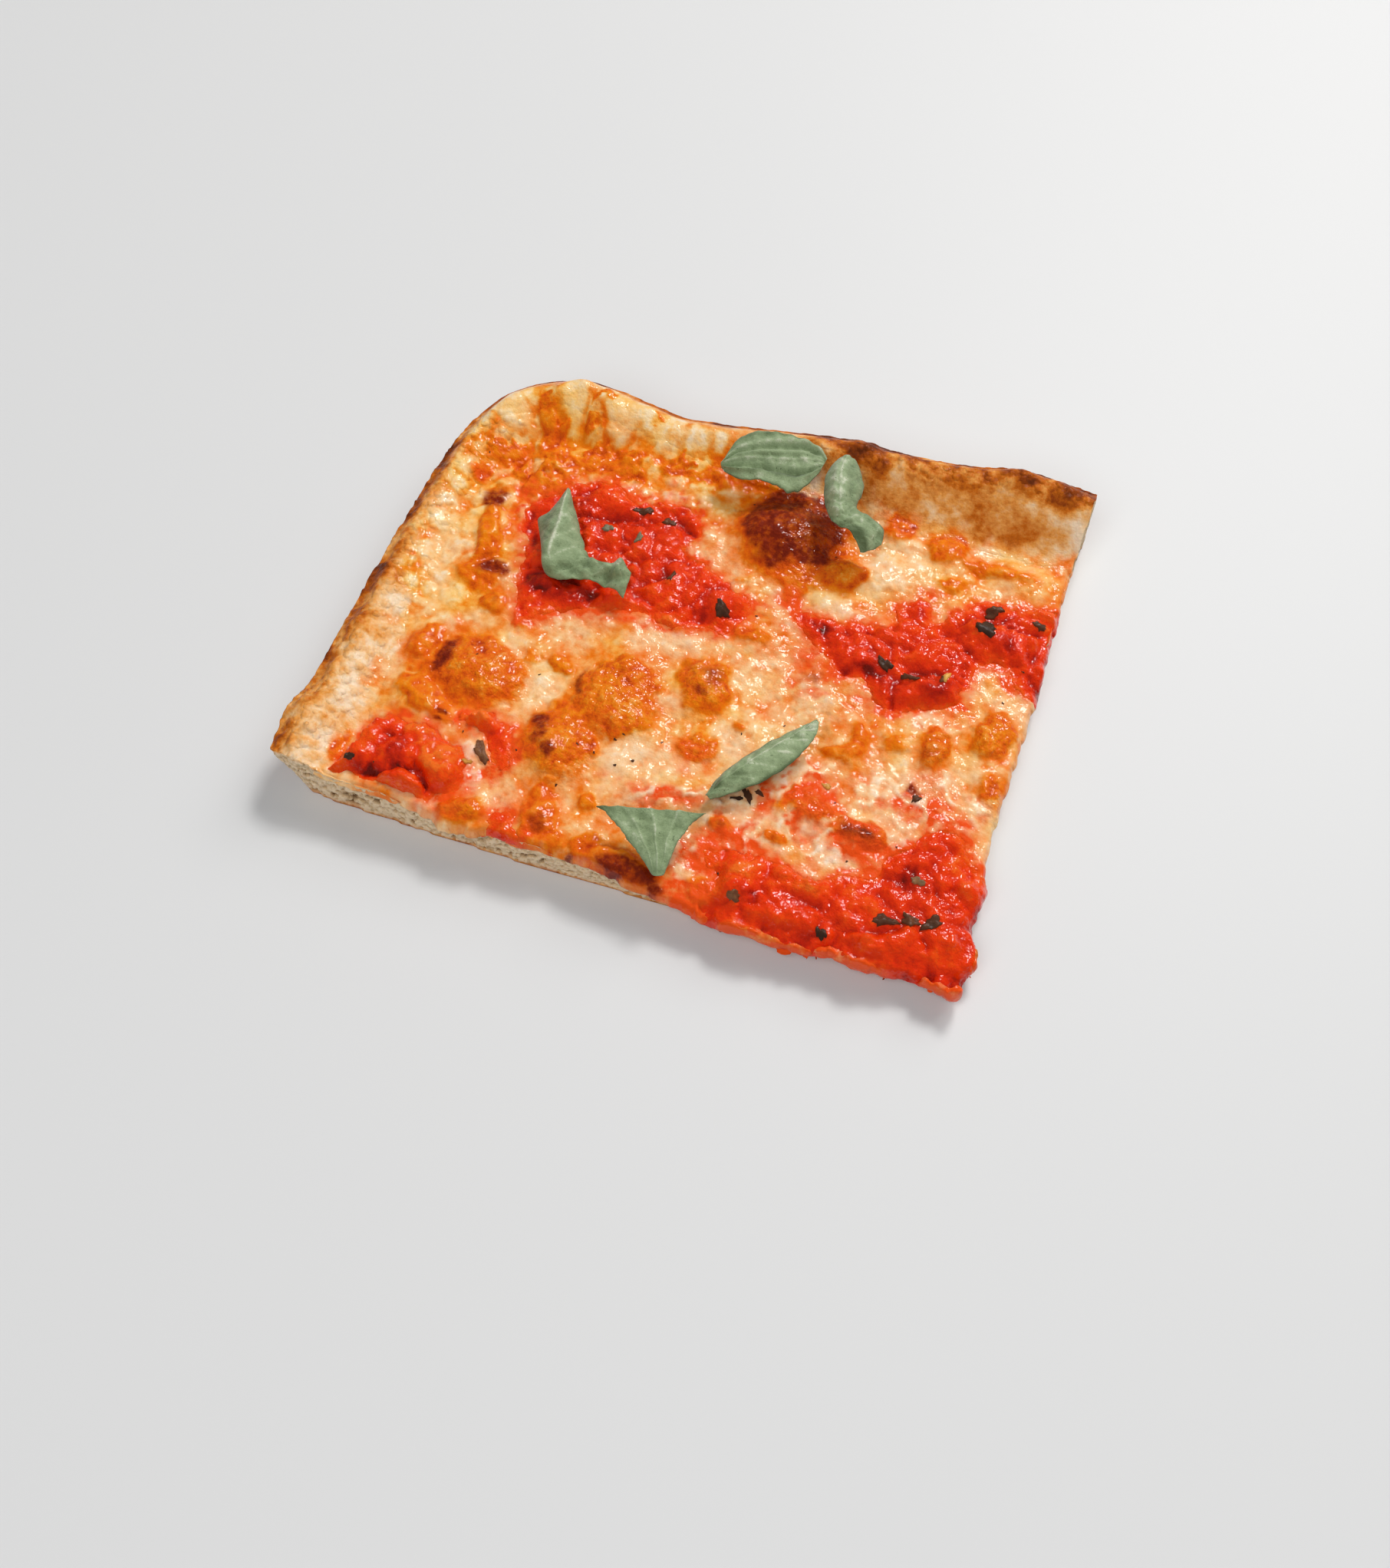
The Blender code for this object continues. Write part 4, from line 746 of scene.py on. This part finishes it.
def leaf_look():
    look = Look("basil_leaf", Sheen_Weight=0.2, Sheen_Roughness=0.5, IOR=1.4, Specular_IOR_Level=0.35)
    look.bump((look.noise(0.55, 4.0, 0.7), 1.0, 0.22))
    specks = look.add("Math", 0, {0: look.noise(0.6, 1.0), 1: 0.72}, operation="GREATER_THAN")
    # The vein field is the leaf's tone: its veins and midrib, with painted light and shade.
    tone = look.scaled(specks, -0.40, look.around("vein", 1.0, 0.7, 6.0, 0.8))
    return look.finish(look.ramp(tone, LEAF_TONES), look.around(0.6, 0.2, 0.8))


def chip_look(name, tones):
    look = Look(name, Coat_Weight=0.1, Coat_Roughness=0.2, IOR=1.45, Specular_IOR_Level=0.3)
    look.bump((look.noise(0.5, 3.0), 0.6, 0.2))
    colour = look.ramp(look.around("hue", 0.55, 0.9, 4.0, 0.7), tones)
    return look.finish(colour, look.around(0.45, 0.2, 0.6))


# ---- Dough

POCKET_FLOOR = 2.5              # the dough under the toppings, out of sight
DOUGH_LEVELS = 22               # rings down the dough's sides
HOLES = 420
CUT_LENGTH = 480.0
CUT_FRONT, CUT_RIGHT = -43, 55  # past these lie the two cuts
CUT_LEFT = X[(in_dough > 0) & (Y < CUT_FRONT)].min()    # the ends of the two cuts, at the pan's walls
CUT_BACK = Y[(in_dough > 0) & (X > CUT_RIGHT)].max()
CUT_TURN = 12.0                 # how far along a cut the flare is taken up
hole_chance = np.random.default_rng(201)
# Holes in the crumb: place along the edge, height, half length, half height, depth.
holes = np.stack([hole_chance.uniform(0, CUT_LENGTH, HOLES), hole_chance.uniform(0.8, 7.0, HOLES),
                  0.35 + 1.3 * hole_chance.random(HOLES) ** 3, 0.25 + 0.7 * hole_chance.random(HOLES) ** 2,
                  hole_chance.uniform(0.5, 1.2, HOLES)])


def dough_side(edge, nx, ny, t):
    """The dough's sides: flared pan walls, and cuts that show the open crumb."""
    cut = edge["cut"] * unit((np.maximum(nx, -ny) - 0.35) / 0.25)
    flare = PAN_FLARE * t ** 1.3
    lean = flare * (1 - cut)
    left_end = unit((CUT_LEFT + CUT_TURN - edge["x"]) / CUT_TURN)
    back_end = unit((edge["y"] + CUT_TURN - CUT_BACK) / CUT_TURN)
    x = edge["x"] - nx * lean + flare * cut * left_end ** 2
    y = edge["y"] - ny * lean - flare * cut * back_end ** 2
    z = edge["z"] * (1 - t)
    along_it = np.concatenate([[0], np.cumsum(np.hypot(np.diff(edge["x"]), np.diff(edge["y"])))])
    far = np.hypot((along_it[:, None] - holes[0]) / holes[2], (z[:, None] - holes[1]) / holes[3])
    pores = unit(wobble(x, y, z * 1.3, 0.62, 5.0) - 0.12) + 0.6 * unit(wobble(x, y, z, 1.1, 7.0) - 0.1)
    hollow = cut * ((holes[4] * unit(1 - far ** 2) ** 0.5).max(1) + 1.1 * pores)
    uneven = 0.25 * wobble(x, y, z, 3.0, 9.0) + (1 - cut) * 0.35 * wobble(x, y, z, 1.3, 4.0)
    inward = (hollow - uneven) * math.sin(math.pi * min(t * 1.02, 1.0)) ** 0.4 if t < 1 else 0.0
    baked = 0.5 + 0.35 * wobble(x, y, z, 4.0, 1.0)
    skin = unit(np.exp(-((edge["z"] - z) / 0.45) ** 2) + np.exp(-(z / (0.35 + 0.5 * baked)) ** 2))
    wall_brown = 0.45 + 0.25 * wobble(x, y, z, 4.0, 2.0) + 0.25 * t
    # The holes and pores in the cut crumb are painted darker, as painted shade.
    return {**edge, "x": x - nx * inward, "y": y - ny * inward, "z": z,
            "crumb": cut * (1 - skin), "pit": unit(0.06 + 1.1 * hollow),
            "brown": mixed(wall_brown, 0.30 + 0.5 * t * baked, cut),
            "glaze": edge["glaze"] * math.exp(-5 * t) * (1 - cut)}


cut_side = np.maximum(band(Y, -42.5, -44.2), band(X, 53.5, 55.5))     # 1 along the two cuts
dough = solid("dough_body", np.minimum(in_dough, 4.2 - in_topping),
              {"z": dough_top, **BAKED, "cut": cut_side, "crumb": X * 0, "pit": X * 0},
              DOUGH_LEVELS, dough_side, baked_look("baked_dough", True), room=POCKET_FLOOR)
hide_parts("dough")


# ---- Toppings

TOPPING_LEVELS = 7              # rings down the toppings' sides


def topping_side(edge, nx, ny, t):
    """The toppings' sides: a soft bulge at the cuts, tucked in at the base."""
    low = FLOOR + FLOOR_SLOPE * edge["x"] + GAP
    hang = 0.45 * np.clip(edge["hang"], 0, 3) * (1 + wobble(edge["x"], edge["y"], low, 5.0, 3.0))
    z = mixed(edge["z"], np.minimum(low - hang, edge["z"] - 0.05), t)
    swell = 0.30 + 0.22 * wobble(edge["x"], edge["y"], z, 1.6, 1.0)
    bulge = (swell * math.sin(math.pi * t) - 0.8 * t ** 4) * edge["open"]
    return {**edge, "x": edge["x"] + nx * bulge, "y": edge["y"] + ny * bulge, "z": z}


SIDES = {"hang": -in_dough, "open": at_cut * band(topping_edge, 0.6, 0.2)}
cheese = solid("cheese_layer", np.minimum(topping_edge, 1.7 - lip), {"z": cheese_top, **BAKED, **SIDES},
               TOPPING_LEVELS, topping_side, baked_look("melted_cheese", False))
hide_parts("cheese")

# Darker tomato: darker patches of pulp, and painted shadow beside the folded leaf and in the creases between
# lumps.
DEEP_AND_SHADOW = [
    (-31, 5, 9, 3, 1, -10), (-42, 14, 1.6, 8, .9, 12), (-45, -40, 1.6, 4, .8, 10), (-49, -43, 4, 1.6, .7),
    (17, 12.5, 3, 2, .7), (42, 3, 3, 2, .7), (50, 19, 3, 3, .6), (35, 23, 2, 3, .6), (28, 4, 5, 2, .6, -20),
    (-33, 27, 2, 5, .6, 30), (45, -34, 3, 3, .5), (20, -46, 5, 1.6, .5)]
FRESH = [
    (-43, -33.5, 4.4, 3.4, 1, -10), (-38, -37.5, 5, 4, .9), (-55, -43, 3, 3, .7), (53, -30, 5, 6, .8),
    (30, -41, 9, 4, .7), (37, -46, 5, 4, .7), (53, -47, 5, 4, .8), (55, 12, 3, 5, .7),
    (-35, -27, 4, 1.6, .8, -10), (20, -42, 5, 3, .6), (33, 9, 4, 3, .6), (-22, -46, 3, 3, .8),
    (57, 28, 3, 4, .6), (-19, 18, 3, 6, .5, -30), (-36, 31, 4, 4, .5)]
deep_and_shadow = patchy(DEEP_AND_SHADOW, 0.2, 0.35, 161)
fresh = patchy(FRESH, 0.2, 0.35, 162)
# Tomato tone: real patches, with painted light and shade, lighter on the lumps' tops and darker in the
# creases between them.
freshness_and_shade = (0.60 + 0.13 * rough(3.6, 163, 4, 0.7) + 0.12 * rough(10.0, 164, 2) + 0.12 * (lumps - 0.6)
             + 0.16 * fresh - 0.46 * deep_and_shadow + 0.42 * np.clip(sauce_rise, -0.7, 0.3))
freshness_and_shade = mixed(freshness_and_shade, 0.88, 0.9 * band(lip, 2.4, 0.2))
sauce_material = sauce_look()
for patch in SAUCES:
    domain = np.minimum(np.minimum(in_sauce[patch] + 2.4, lip + 1.3), topping_edge)
    piece = solid(patch.replace("sauce", "tomato"), domain, {"z": sauce_top, "fresh": freshness_and_shade, **SIDES},
                  TOPPING_LEVELS, topping_side, sauce_material)
    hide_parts(patch)


# ---- Basil and herbs

LEAF = 0.45                     # thickness of a leaf at its middle
LEAF_EDGE = 0.16
LEAF_ROWS, LEAF_COLUMNS = 72, 37
LEAF_ROOM = 0.55                # least height of a leaf's upper face over what it lies on
LEAF_MATERIAL = leaf_look()


def along(curve, places):
    """Points of a smooth curve at places counted in the points that it goes through."""
    points = np.array(curve, float)
    index = np.minimum(places.astype(int), len(points) - 2)
    t = (places - index)[:, None]
    a, b = points[np.maximum(index - 1, 0)], points[index]
    c, d = points[index + 1], points[np.minimum(index + 2, len(points) - 1)]
    return 0.5 * (2 * b + (c - a) * t + (2 * a - 5 * b + 4 * c - d) * t ** 2
                  + (3 * b - a - 3 * c + d) * t ** 3)


def make_leaf(name, seed, left, rib, right, light_shade_and_spots, width, pale, fade, veins=0, lean=0.0, pleats=0,
              pleat=0.0, side_ribs=(), crumple=0.0):
    """A thin basil leaf with raised veins, creased between them, draped over the toppings."""
    share = np.linspace(0, 1, LEAF_ROWS)[:, None]
    across = np.linspace(-1, 1, LEAF_COLUMNS)[None, :]
    a, b, c = (along(curve, share[:, 0] * (len(rib) - 1))[:, None, :] for curve in (left, rib, right))
    ragged = wobble(share * 60, 0, 0, 4.0, seed)
    v = (across * (0.96 + 0.05 * ragged * np.sign(across)))[:, :, None]
    points = a * (v - 1) * v / 2 + b * (1 - v * v) + c * (v + 1) * v / 2
    x, y, z = np.moveaxis(points, -1, 0)
    outer = np.abs(across)
    phase = (share + lean * outer) * veins + 0.5
    vein = np.exp(-((phase - np.round(phase)) / 0.075) ** 2) * band(outer, 1.0, 0.7) * (veins > 0)
    ridge = np.exp(-(across / width) ** 2)
    for side_rib in side_ribs:
        ridge = np.maximum(ridge, 0.7 * np.exp(-((outer - side_rib) / (0.8 * width)) ** 2))
    ridge = ridge * band(share, *fade) * band(share, 0.0, 0.10 * len(side_ribs) + 0.001)
    ripple = wobble(x, y, 0, 1.7, seed + 20)
    crinkle = wobble(x, y, 0, 0.7, seed + 30)
    bend = across + 0.10 * np.sin(7 * across + seed) + 0.12 * np.sin(5 * share + 3 * across)
    fold = np.cos(math.pi * pleats * bend) * (pleats > 0)
    z = (z + pleat * fold * band(share, 1.0, 0.75) * (0.7 + 0.3 * np.sin(9 * across + seed))
         + 0.09 * vein + 0.22 * ridge - 0.10 * np.cos(2 * math.pi * phase) * (veins > 0)
         + (0.30 + crumple * band(share, 0.5, 0.65)) * ripple + 0.07 * crinkle)
    low = sampled(blur(TOP, 0.7), x, y) + LEAF_ROOM
    z = low + 0.5 * (z - low + np.sqrt((z - low) ** 2 + 0.06))
    thick = mixed(LEAF_EDGE, LEAF, band(outer, 1.0, 0.6) * band(share, 0, 0.05) * band(share, 1, 0.97))
    # Tone, with painted light and shade: paler where the leaf ripples up and on its folds' ridges, darker in
    # the folds.
    tone = (0.50 + pale * ridge + 0.24 * vein * (1 - ridge) + 0.26 * ripple + 0.18 * fold
            - 0.22 * band(outer, 0.9, 1.0))
    # Painted light and shade, and on the slender leaf dark burnt spots, laid on by place.
    for share_at, across_at, length, breadth, amount in light_shade_and_spots:
        away = ((share - share_at) / length) ** 2 + ((across - across_at) / breadth) ** 2
        tone = tone + amount * np.exp(-away)
    index = np.arange(LEAF_ROWS * LEAF_COLUMNS).reshape(LEAF_ROWS, LEAF_COLUMNS)
    a, b, c, d = (part.ravel() for part in (index[:-1, :-1], index[:-1, 1:], index[1:, 1:], index[1:, :-1]))
    top = np.concatenate([np.stack([a, b, c], 1), np.stack([a, c, d], 1)])
    edge = np.concatenate([index[0, :-1], index[:-1, -1], index[-1, :0:-1], index[:0:-1, 0]])
    faces = np.concatenate([top, top[:, ::-1] + index.size] + wall(edge, edge + index.size))
    spread = points[-1, 0] - points[0, 0]
    girth = points[LEAF_ROWS // 2, -1] - points[LEAF_ROWS // 2, 0]
    if girth[0] * spread[1] - girth[1] * spread[0] < 0:
        faces = faces[:, ::-1]
    # The lower face's tone is painted darker, as shade.
    data = {"x": np.tile(x.ravel(), 2), "y": np.tile(y.ravel(), 2),
            "z": np.append(z, z - thick), "vein": np.append(tone, tone - 0.1)}
    leaf = make_piece(name.replace("basil", "leaf"), data, faces, LEAF_MATERIAL)
    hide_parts(name)


# Left edge, midrib and right edge run from the leaf's tip to its base. Painted light and shade, with
# dark burnt spots on the slender leaf, are a share of the length, a place across from -1 to 1, half
# length, half width, and how much paler: above 0 a painted highlight, below 0 painted shade or a spot.
make_leaf(
    "basil_folded", 40.0, width=.11, pale=.42, fade=(.54, .44), veins=7, lean=.1, crumple=.5,
    left=[(-37, 24.6, 14.6), (-39.2, 20.7, 12), (-41.2, 18.6, 11), (-39.1, 14.5, 11.2), (-37.2, 10.7, 11.3),
        (-34.6, 6, 11.2), (-30.5, 5.4, 11.2), (-27, 6.9, 11.3), (-24, 6.4, 11.2), (-21, 5.8, 11.4),
        (-18.8, 4.7, 11.3)],
    rib=[(-36.7, 24.6, 15), (-36.3, 21, 15), (-35.7, 17.2, 14.8), (-35.4, 14, 14.6), (-35.2, 10.6, 14.2),
        (-34.2, 8.2, 13.4), (-30.2, 8.6, 12.6), (-26.7, 9, 12.5), (-23.6, 8.6, 12.8), (-20.8, 8.2, 13.8),
        (-18.7, 6.8, 12.4)],
    right=[(-36.3, 24.7, 14.6), (-35, 22.6, 13.6), (-33.2, 20, 12.6), (-31.2, 16.8, 12),
        (-29.4, 14.2, 11.8), (-28.2, 12.6, 11.9), (-27.4, 11.6, 12.3), (-26, 10.6, 12.9),
        (-23.4, 10.4, 13.6), (-20.8, 10.6, 14.9), (-18.6, 9.2, 13.4)],
    light_shade_and_spots=[(.2, -.7, .3, .4, -.35), (.62, 0, .08, .8, -.3), (.86, .8, .08, .3, .3),
        (.85, 0, .06, .5, -.25)])
make_leaf(
    "basil_pleated", 41.0, width=.04, pale=.16, fade=(1, .9), pleats=3, pleat=.6,
    left=[(-10.9, 41.2, 13.6), (-9.6, 46.4, 15.4), (-6.4, 48.6, 17), (-2, 49.6, 17.4), (2.8, 49.6, 17),
        (6.6, 48.8, 16.2), (9, 46.6, 15.6)],
    rib=[(-10.8, 40.6, 13.6), (-8, 42.2, 14.4), (-3.6, 43.4, 14.8), (.8, 44.3, 14.8), (4.4, 45.2, 15),
        (7, 45.8, 15.1), (8.8, 45.8, 15.2)],
    right=[(-9.8, 39.6, 13.4), (-6, 38.4, 13.2), (-2.4, 38.6, 13.8), (1, 38, 14), (4, 37.4, 13.6),
        (6.4, 39.8, 13.6), (8.2, 43.6, 14.2)],
    light_shade_and_spots=[(.5, .55, .4, .12, -.6), (.4, -.15, .4, .1, -.4), (.35, -.8, .4, .3, .15)])
make_leaf(
    "basil_twisted", 42.0, width=.07, pale=.2, fade=(.6, .4), veins=6, lean=.1, pleats=1, pleat=.35,
    crumple=.3,
    left=[(11, 46.4, 16.4), (9.9, 42, 16.2), (10.6, 37.8, 15.8), (12, 34.2, 15.4), (14.2, 31.2, 15.4),
        (17.2, 30, 15.6), (19.4, 28.4, 15), (20.8, 26.8, 13.6)],
    rib=[(12.8, 47, 17), (12.9, 42.2, 18), (13.9, 37.4, 17.8), (14.8, 34.2, 16.8), (16.2, 32.8, 16),
        (18.8, 32.2, 15.8), (21.4, 30.6, 15), (22.4, 28.2, 13.4)],
    right=[(14.8, 47, 16.4), (16.8, 44, 15.8), (18, 40.4, 15.4), (17.6, 37.4, 15.4), (18, 35.6, 15.6),
        (20.4, 34.9, 15.4), (23.8, 33.2, 14.6), (24.2, 30.2, 13.2)],
    light_shade_and_spots=[(.86, -.7, .16, .55, -1), (.54, .2, .05, .8, -.3), (.2, -.6, .25, .3, .2),
        (.3, .5, .2, .2, -.15)])
make_leaf(
    "basil_slender", 43.0, width=.05, pale=.28, fade=(1, .8), veins=7, lean=-.12,
    left=[(8.4, -31, 9.4), (9.4, -27.4, 9.8), (11.9, -23.2, 10.2), (15.2, -18.8, 10.4), (18.6, -15, 10.6),
        (21.4, -12.6, 11.2), (22.7, -11.6, 11.7)],
    rib=[(8.8, -31.3, 10), (10.6, -28.4, 11), (13.4, -24.4, 11.5), (16.4, -20.4, 11.7), (19.4, -16.5, 11.7),
        (21.6, -13.7, 11.8), (22.9, -11.7, 12)],
    right=[(9.6, -31.6, 9.6), (13.2, -29.6, 10.2), (17.4, -26.2, 10.6), (20.6, -22.2, 10.8),
        (22.6, -17.8, 10.8), (23.6, -14.4, 11.2), (23.4, -12, 11.8)],
    light_shade_and_spots=[(.14, 0, .07, .4, -.6), (.35, -.8, .3, .15, -.4), (.7, .3, .3, .4, .15), (.9, .5, .12, .6, .3),
        (.26, .25, .05, .3, -.5), (.5, -.85, .4, .2, -.25), (.4, .98, .25, .1, -.5)])
make_leaf(
    "basil_torn", 44.0, width=.035, pale=.3, fade=(2, 1), side_ribs=(.5,), crumple=.3,
    left=[(4.4, -48.4, 9.6), (1.6, -46.2, 10.4), (-.8, -44.6, 10.9), (-3.8, -42.4, 11.2),
        (-6.4, -40.8, 11.6), (-8.4, -40.2, 12.2)],
    rib=[(5.5, -48.7, 9.8), (4.6, -45.6, 11.2), (3.6, -43.4, 11.7), (2.8, -41.2, 11.9), (2, -39.6, 12.2),
        (1.2, -38.2, 12.6)],
    right=[(6.6, -48, 9.6), (7, -45.2, 10.8), (7.2, -42.7, 11.2), (8, -40.2, 11.6), (8.9, -38, 12),
        (10.6, -36.4, 12.8)],
    light_shade_and_spots=[(.95, -.9, .12, .25, -.4), (.6, -.75, .25, .15, .2), (.5, .25, .2, .15, -.12),
        (.55, -.25, .25, .15, -.12)])

# Charred herb flakes: X, Y, length, width, turn in degrees, and a hue from black to grey-green.
HERBS = [
    (-32, -33.7, 5, 1.9, -48, .55), (43, -19, 2, 1.2, 60, .2), (15, -27.5, 3.2, 1.3, -60, .1),
    (-23, 29, 3.4, 1.8, 10, .3), (-17.5, 28, 2.6, 1.8, 40, .4), (-28, 22, 2.4, 1.6, 0, 1),
    (-21.5, 21.5, 2.2, 1.4, 70, 1), (-12.5, 14, 2.2, 1.4, 80, .4), (-1, 9.5, 3.4, 2.4, -20, .1),
    (31, 7.5, 3.4, 1.8, -40, .1), (36, 5.5, 3, 1.8, -20, .3), (42, 6.5, 1.8, 1.3, 90, .5),
    (47, 20.5, 4.4, 3, -15, 0), (47.5, 26, 3.2, 2.2, 20, .3), (56.5, 25.5, 2.2, 1.8, 0, .3),
    (43.5, -44, 4.4, 2, 25, .3), (47.5, -42.5, 3.4, 2, -15, .4), (51, -42, 3.4, 2.2, 35, .25),
    (47, -35, 2.2, 1.4, 0, .8), (18.5, -47.5, 2.2, 1.6, 30, .5), (34, -49, 2.4, 1.4, -50, 0),
    (-53, -42.5, 1.6, 1.2, 0, 0), (13.4, -28.6, 2.2, .8, 20, 0), (16.8, -26.4, 1.8, .7, -10, .2)]
SEEDS = [(42.4, 7.2, 2.5, 1.5, 75, .8), (-33.5, -36.5, 1.6, 1.1, 20, .3), (27.5, -21, 1.8, 1, 10, .4)]
PEPPER = [(-6.2, -27, .7, .4, 40, .1), (-8.8, -29, .5, .4, 0, .1), (-10.5, -24, .5, .4, 0, .2)]
CHIP_RINGS, CHIP_SIDES = 6, 20
SPECKS = 26                     # specks of cracked pepper, most of them scattered


def make_chips(name, places, rise, look, seed):
    """Small uneven chips that lie over the toppings, as one mesh."""
    columns, blocks = {"x": [], "y": [], "z": [], "hue": []}, []
    turns = np.linspace(0, 2 * math.pi, CHIP_SIDES, endpoint=False)
    share = np.linspace(0.04, 1, CHIP_RINGS)[:, None]
    size = (CHIP_RINGS + 1) * CHIP_SIDES
    for number, (x, y, length, width, turn, hue) in enumerate(places):
        odd = seed + 1.7 * number
        reach = 0.5 * (1 + 0.16 * np.sin(2 * turns + odd) + 0.16 * np.sin(3 * turns + 2.3 * odd)
                       + 0.13 * np.sin(5 * turns + 1.3 * odd) + 0.12 * np.sin(8 * turns + 3.1 * odd))
        p, q = turned(length * share * reach * np.cos(turns), width * share * reach * np.sin(turns), -turn)
        p, q = x + p, y + q
        curl = wobble(p, q, 0, 1.1, odd)
        height = rise * min(1.0, 0.3 + 0.3 * width) * (0.5 + 0.5 * (1 - share ** 4) + 0.8 * curl)
        foot = sampled(TOP, p[-1], q[-1]) - 0.5
        columns["x"].append(np.append(p, p[-1]))
        columns["y"].append(np.append(q, q[-1]))
        columns["z"].append(np.append(sampled(TOP, p, q) + height + 0.04, foot))
        columns["hue"].append(hue + 0.15 * np.append(curl, curl[-1]))
        rings = np.arange(number * size, (number + 1) * size).reshape(-1, CHIP_SIDES)
        blocks += [block[:, ::-1] for block in wall(rings[1:], rings[:-1])]
        for ring, order in ((rings[0], 1), (rings[-1], -1)):
            fan = np.stack([np.full(CHIP_SIDES - 2, ring[0]), ring[1:-1], ring[2:]], 1)
            blocks.append(fan[:, ::order])
    data = {key: np.concatenate(value) for key, value in columns.items()}
    return make_piece(name, data, np.concatenate(blocks), look)


herbs = make_chips("charred_herbs", HERBS, 0.42, chip_look("charred_herb", HERB_TONES), 3.0)
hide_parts("cheese", *SAUCES)
make_chips("tomato_seeds", SEEDS, 0.6, chip_look("tomato_seed", SEED_TONES), 7.0)
speck_chance = np.random.default_rng(301)
while len(PEPPER) < SPECKS:
    speck_x, speck_y = speck_chance.uniform(-60, 57), speck_chance.uniform(-46, 45)
    if sampled(topping_edge, speck_x, speck_y) > 2:
        PEPPER.append((speck_x, speck_y, speck_chance.uniform(0.3, 0.6), speck_chance.uniform(0.2, 0.35),
                       speck_chance.uniform(0, 180), speck_chance.uniform(0, 0.5)))
make_chips("pepper_specks", PEPPER, 0.22, chip_look("cracked_pepper", HERB_TONES), 11.0)


# ---- Camera, light, floor

PHOTO_TURN = -18                # the slice lies turned in the picture
CAMERA_PLACE = (49.6, -163.4, 227.7)
CAMERA_PITCH, CAMERA_ROLL = 57.15, -0.46
FLOOR_HALF, FLOOR_LOW = 3.0, -0.00005       # in metres, a hair below the slice's base


def from_photo(x, y, z):
    """A place in mm on the photo's axes as a point in the part's frame."""
    x, y = turned(x, y, PHOTO_TURN)
    return Vector((x + DATUM[0], y + DATUM[1], z)) * MM


def make_camera():
    data = bpy.data.cameras.new("camera")
    data.lens, data.sensor_width, data.clip_start = 34.57, 36.0, 0.01
    camera = added("camera", data)
    turns = ((-PHOTO_TURN, "Z"), (90 - CAMERA_PITCH, "X"), (CAMERA_ROLL, "Z"))
    turn, tip, roll = (Matrix.Rotation(math.radians(angle), 4, axis) for angle, axis in turns)
    place = (Vector(CAMERA_PLACE) + Vector((*DATUM, 0))) * MM
    camera.matrix_world = Matrix.Translation(place) @ turn @ tip @ roll
    bpy.context.scene.camera = camera


def make_light(name, place, size, watts, colour, glossy):
    data = bpy.data.lights.new(name, "AREA")
    data.shape = "RECTANGLE"
    data.size, data.size_y, data.energy, data.color = *size, watts, colour
    light = added(name, data)
    light.location = place
    light.visible_glossy = glossy
    light.rotation_euler = (-place).to_track_quat("-Z", "Y").to_euler()


def make_stage():
    mesh = bpy.data.meshes.new("floor")
    corners = [(x * FLOOR_HALF, y * FLOOR_HALF, FLOOR_LOW) for x, y in ((-1, -1), (1, -1), (1, 1), (-1, 1))]
    mesh.from_pydata(corners, [], [(0, 1, 2, 3)])
    look = Look("pale_floor")
    colour = look.ramp(look.noise(400.0), [(0.0, .68, .68, .68), (1.0, .71, .71, .71)])
    mesh.materials.append(look.finish(colour, 0.55))
    floor = added("floor", mesh)


make_camera()
make_light("window", from_photo(1000, 900, 1050), (1.1, 1.1), 14.5, (1.0, 0.99, 0.975), False)
make_light("sparkle", from_photo(540, 940, 1140), (0.42, 0.30), 11.0, (1.0, 0.99, 0.975), True)
make_light("fill", from_photo(-500, -1100, 1500), (1.5, 1.5), 22.0, (0.98, 0.99, 1.0), False)
make_stage()
world = bpy.data.worlds.new("studio")
world.use_nodes = True
background = world.node_tree.nodes["Background"].inputs
background["Color"].default_value = (0.97, 0.985, 1.0, 1)
background["Strength"].default_value = 0.12
bpy.context.scene.world = world
bpy.context.scene.view_settings.view_transform = "Standard"
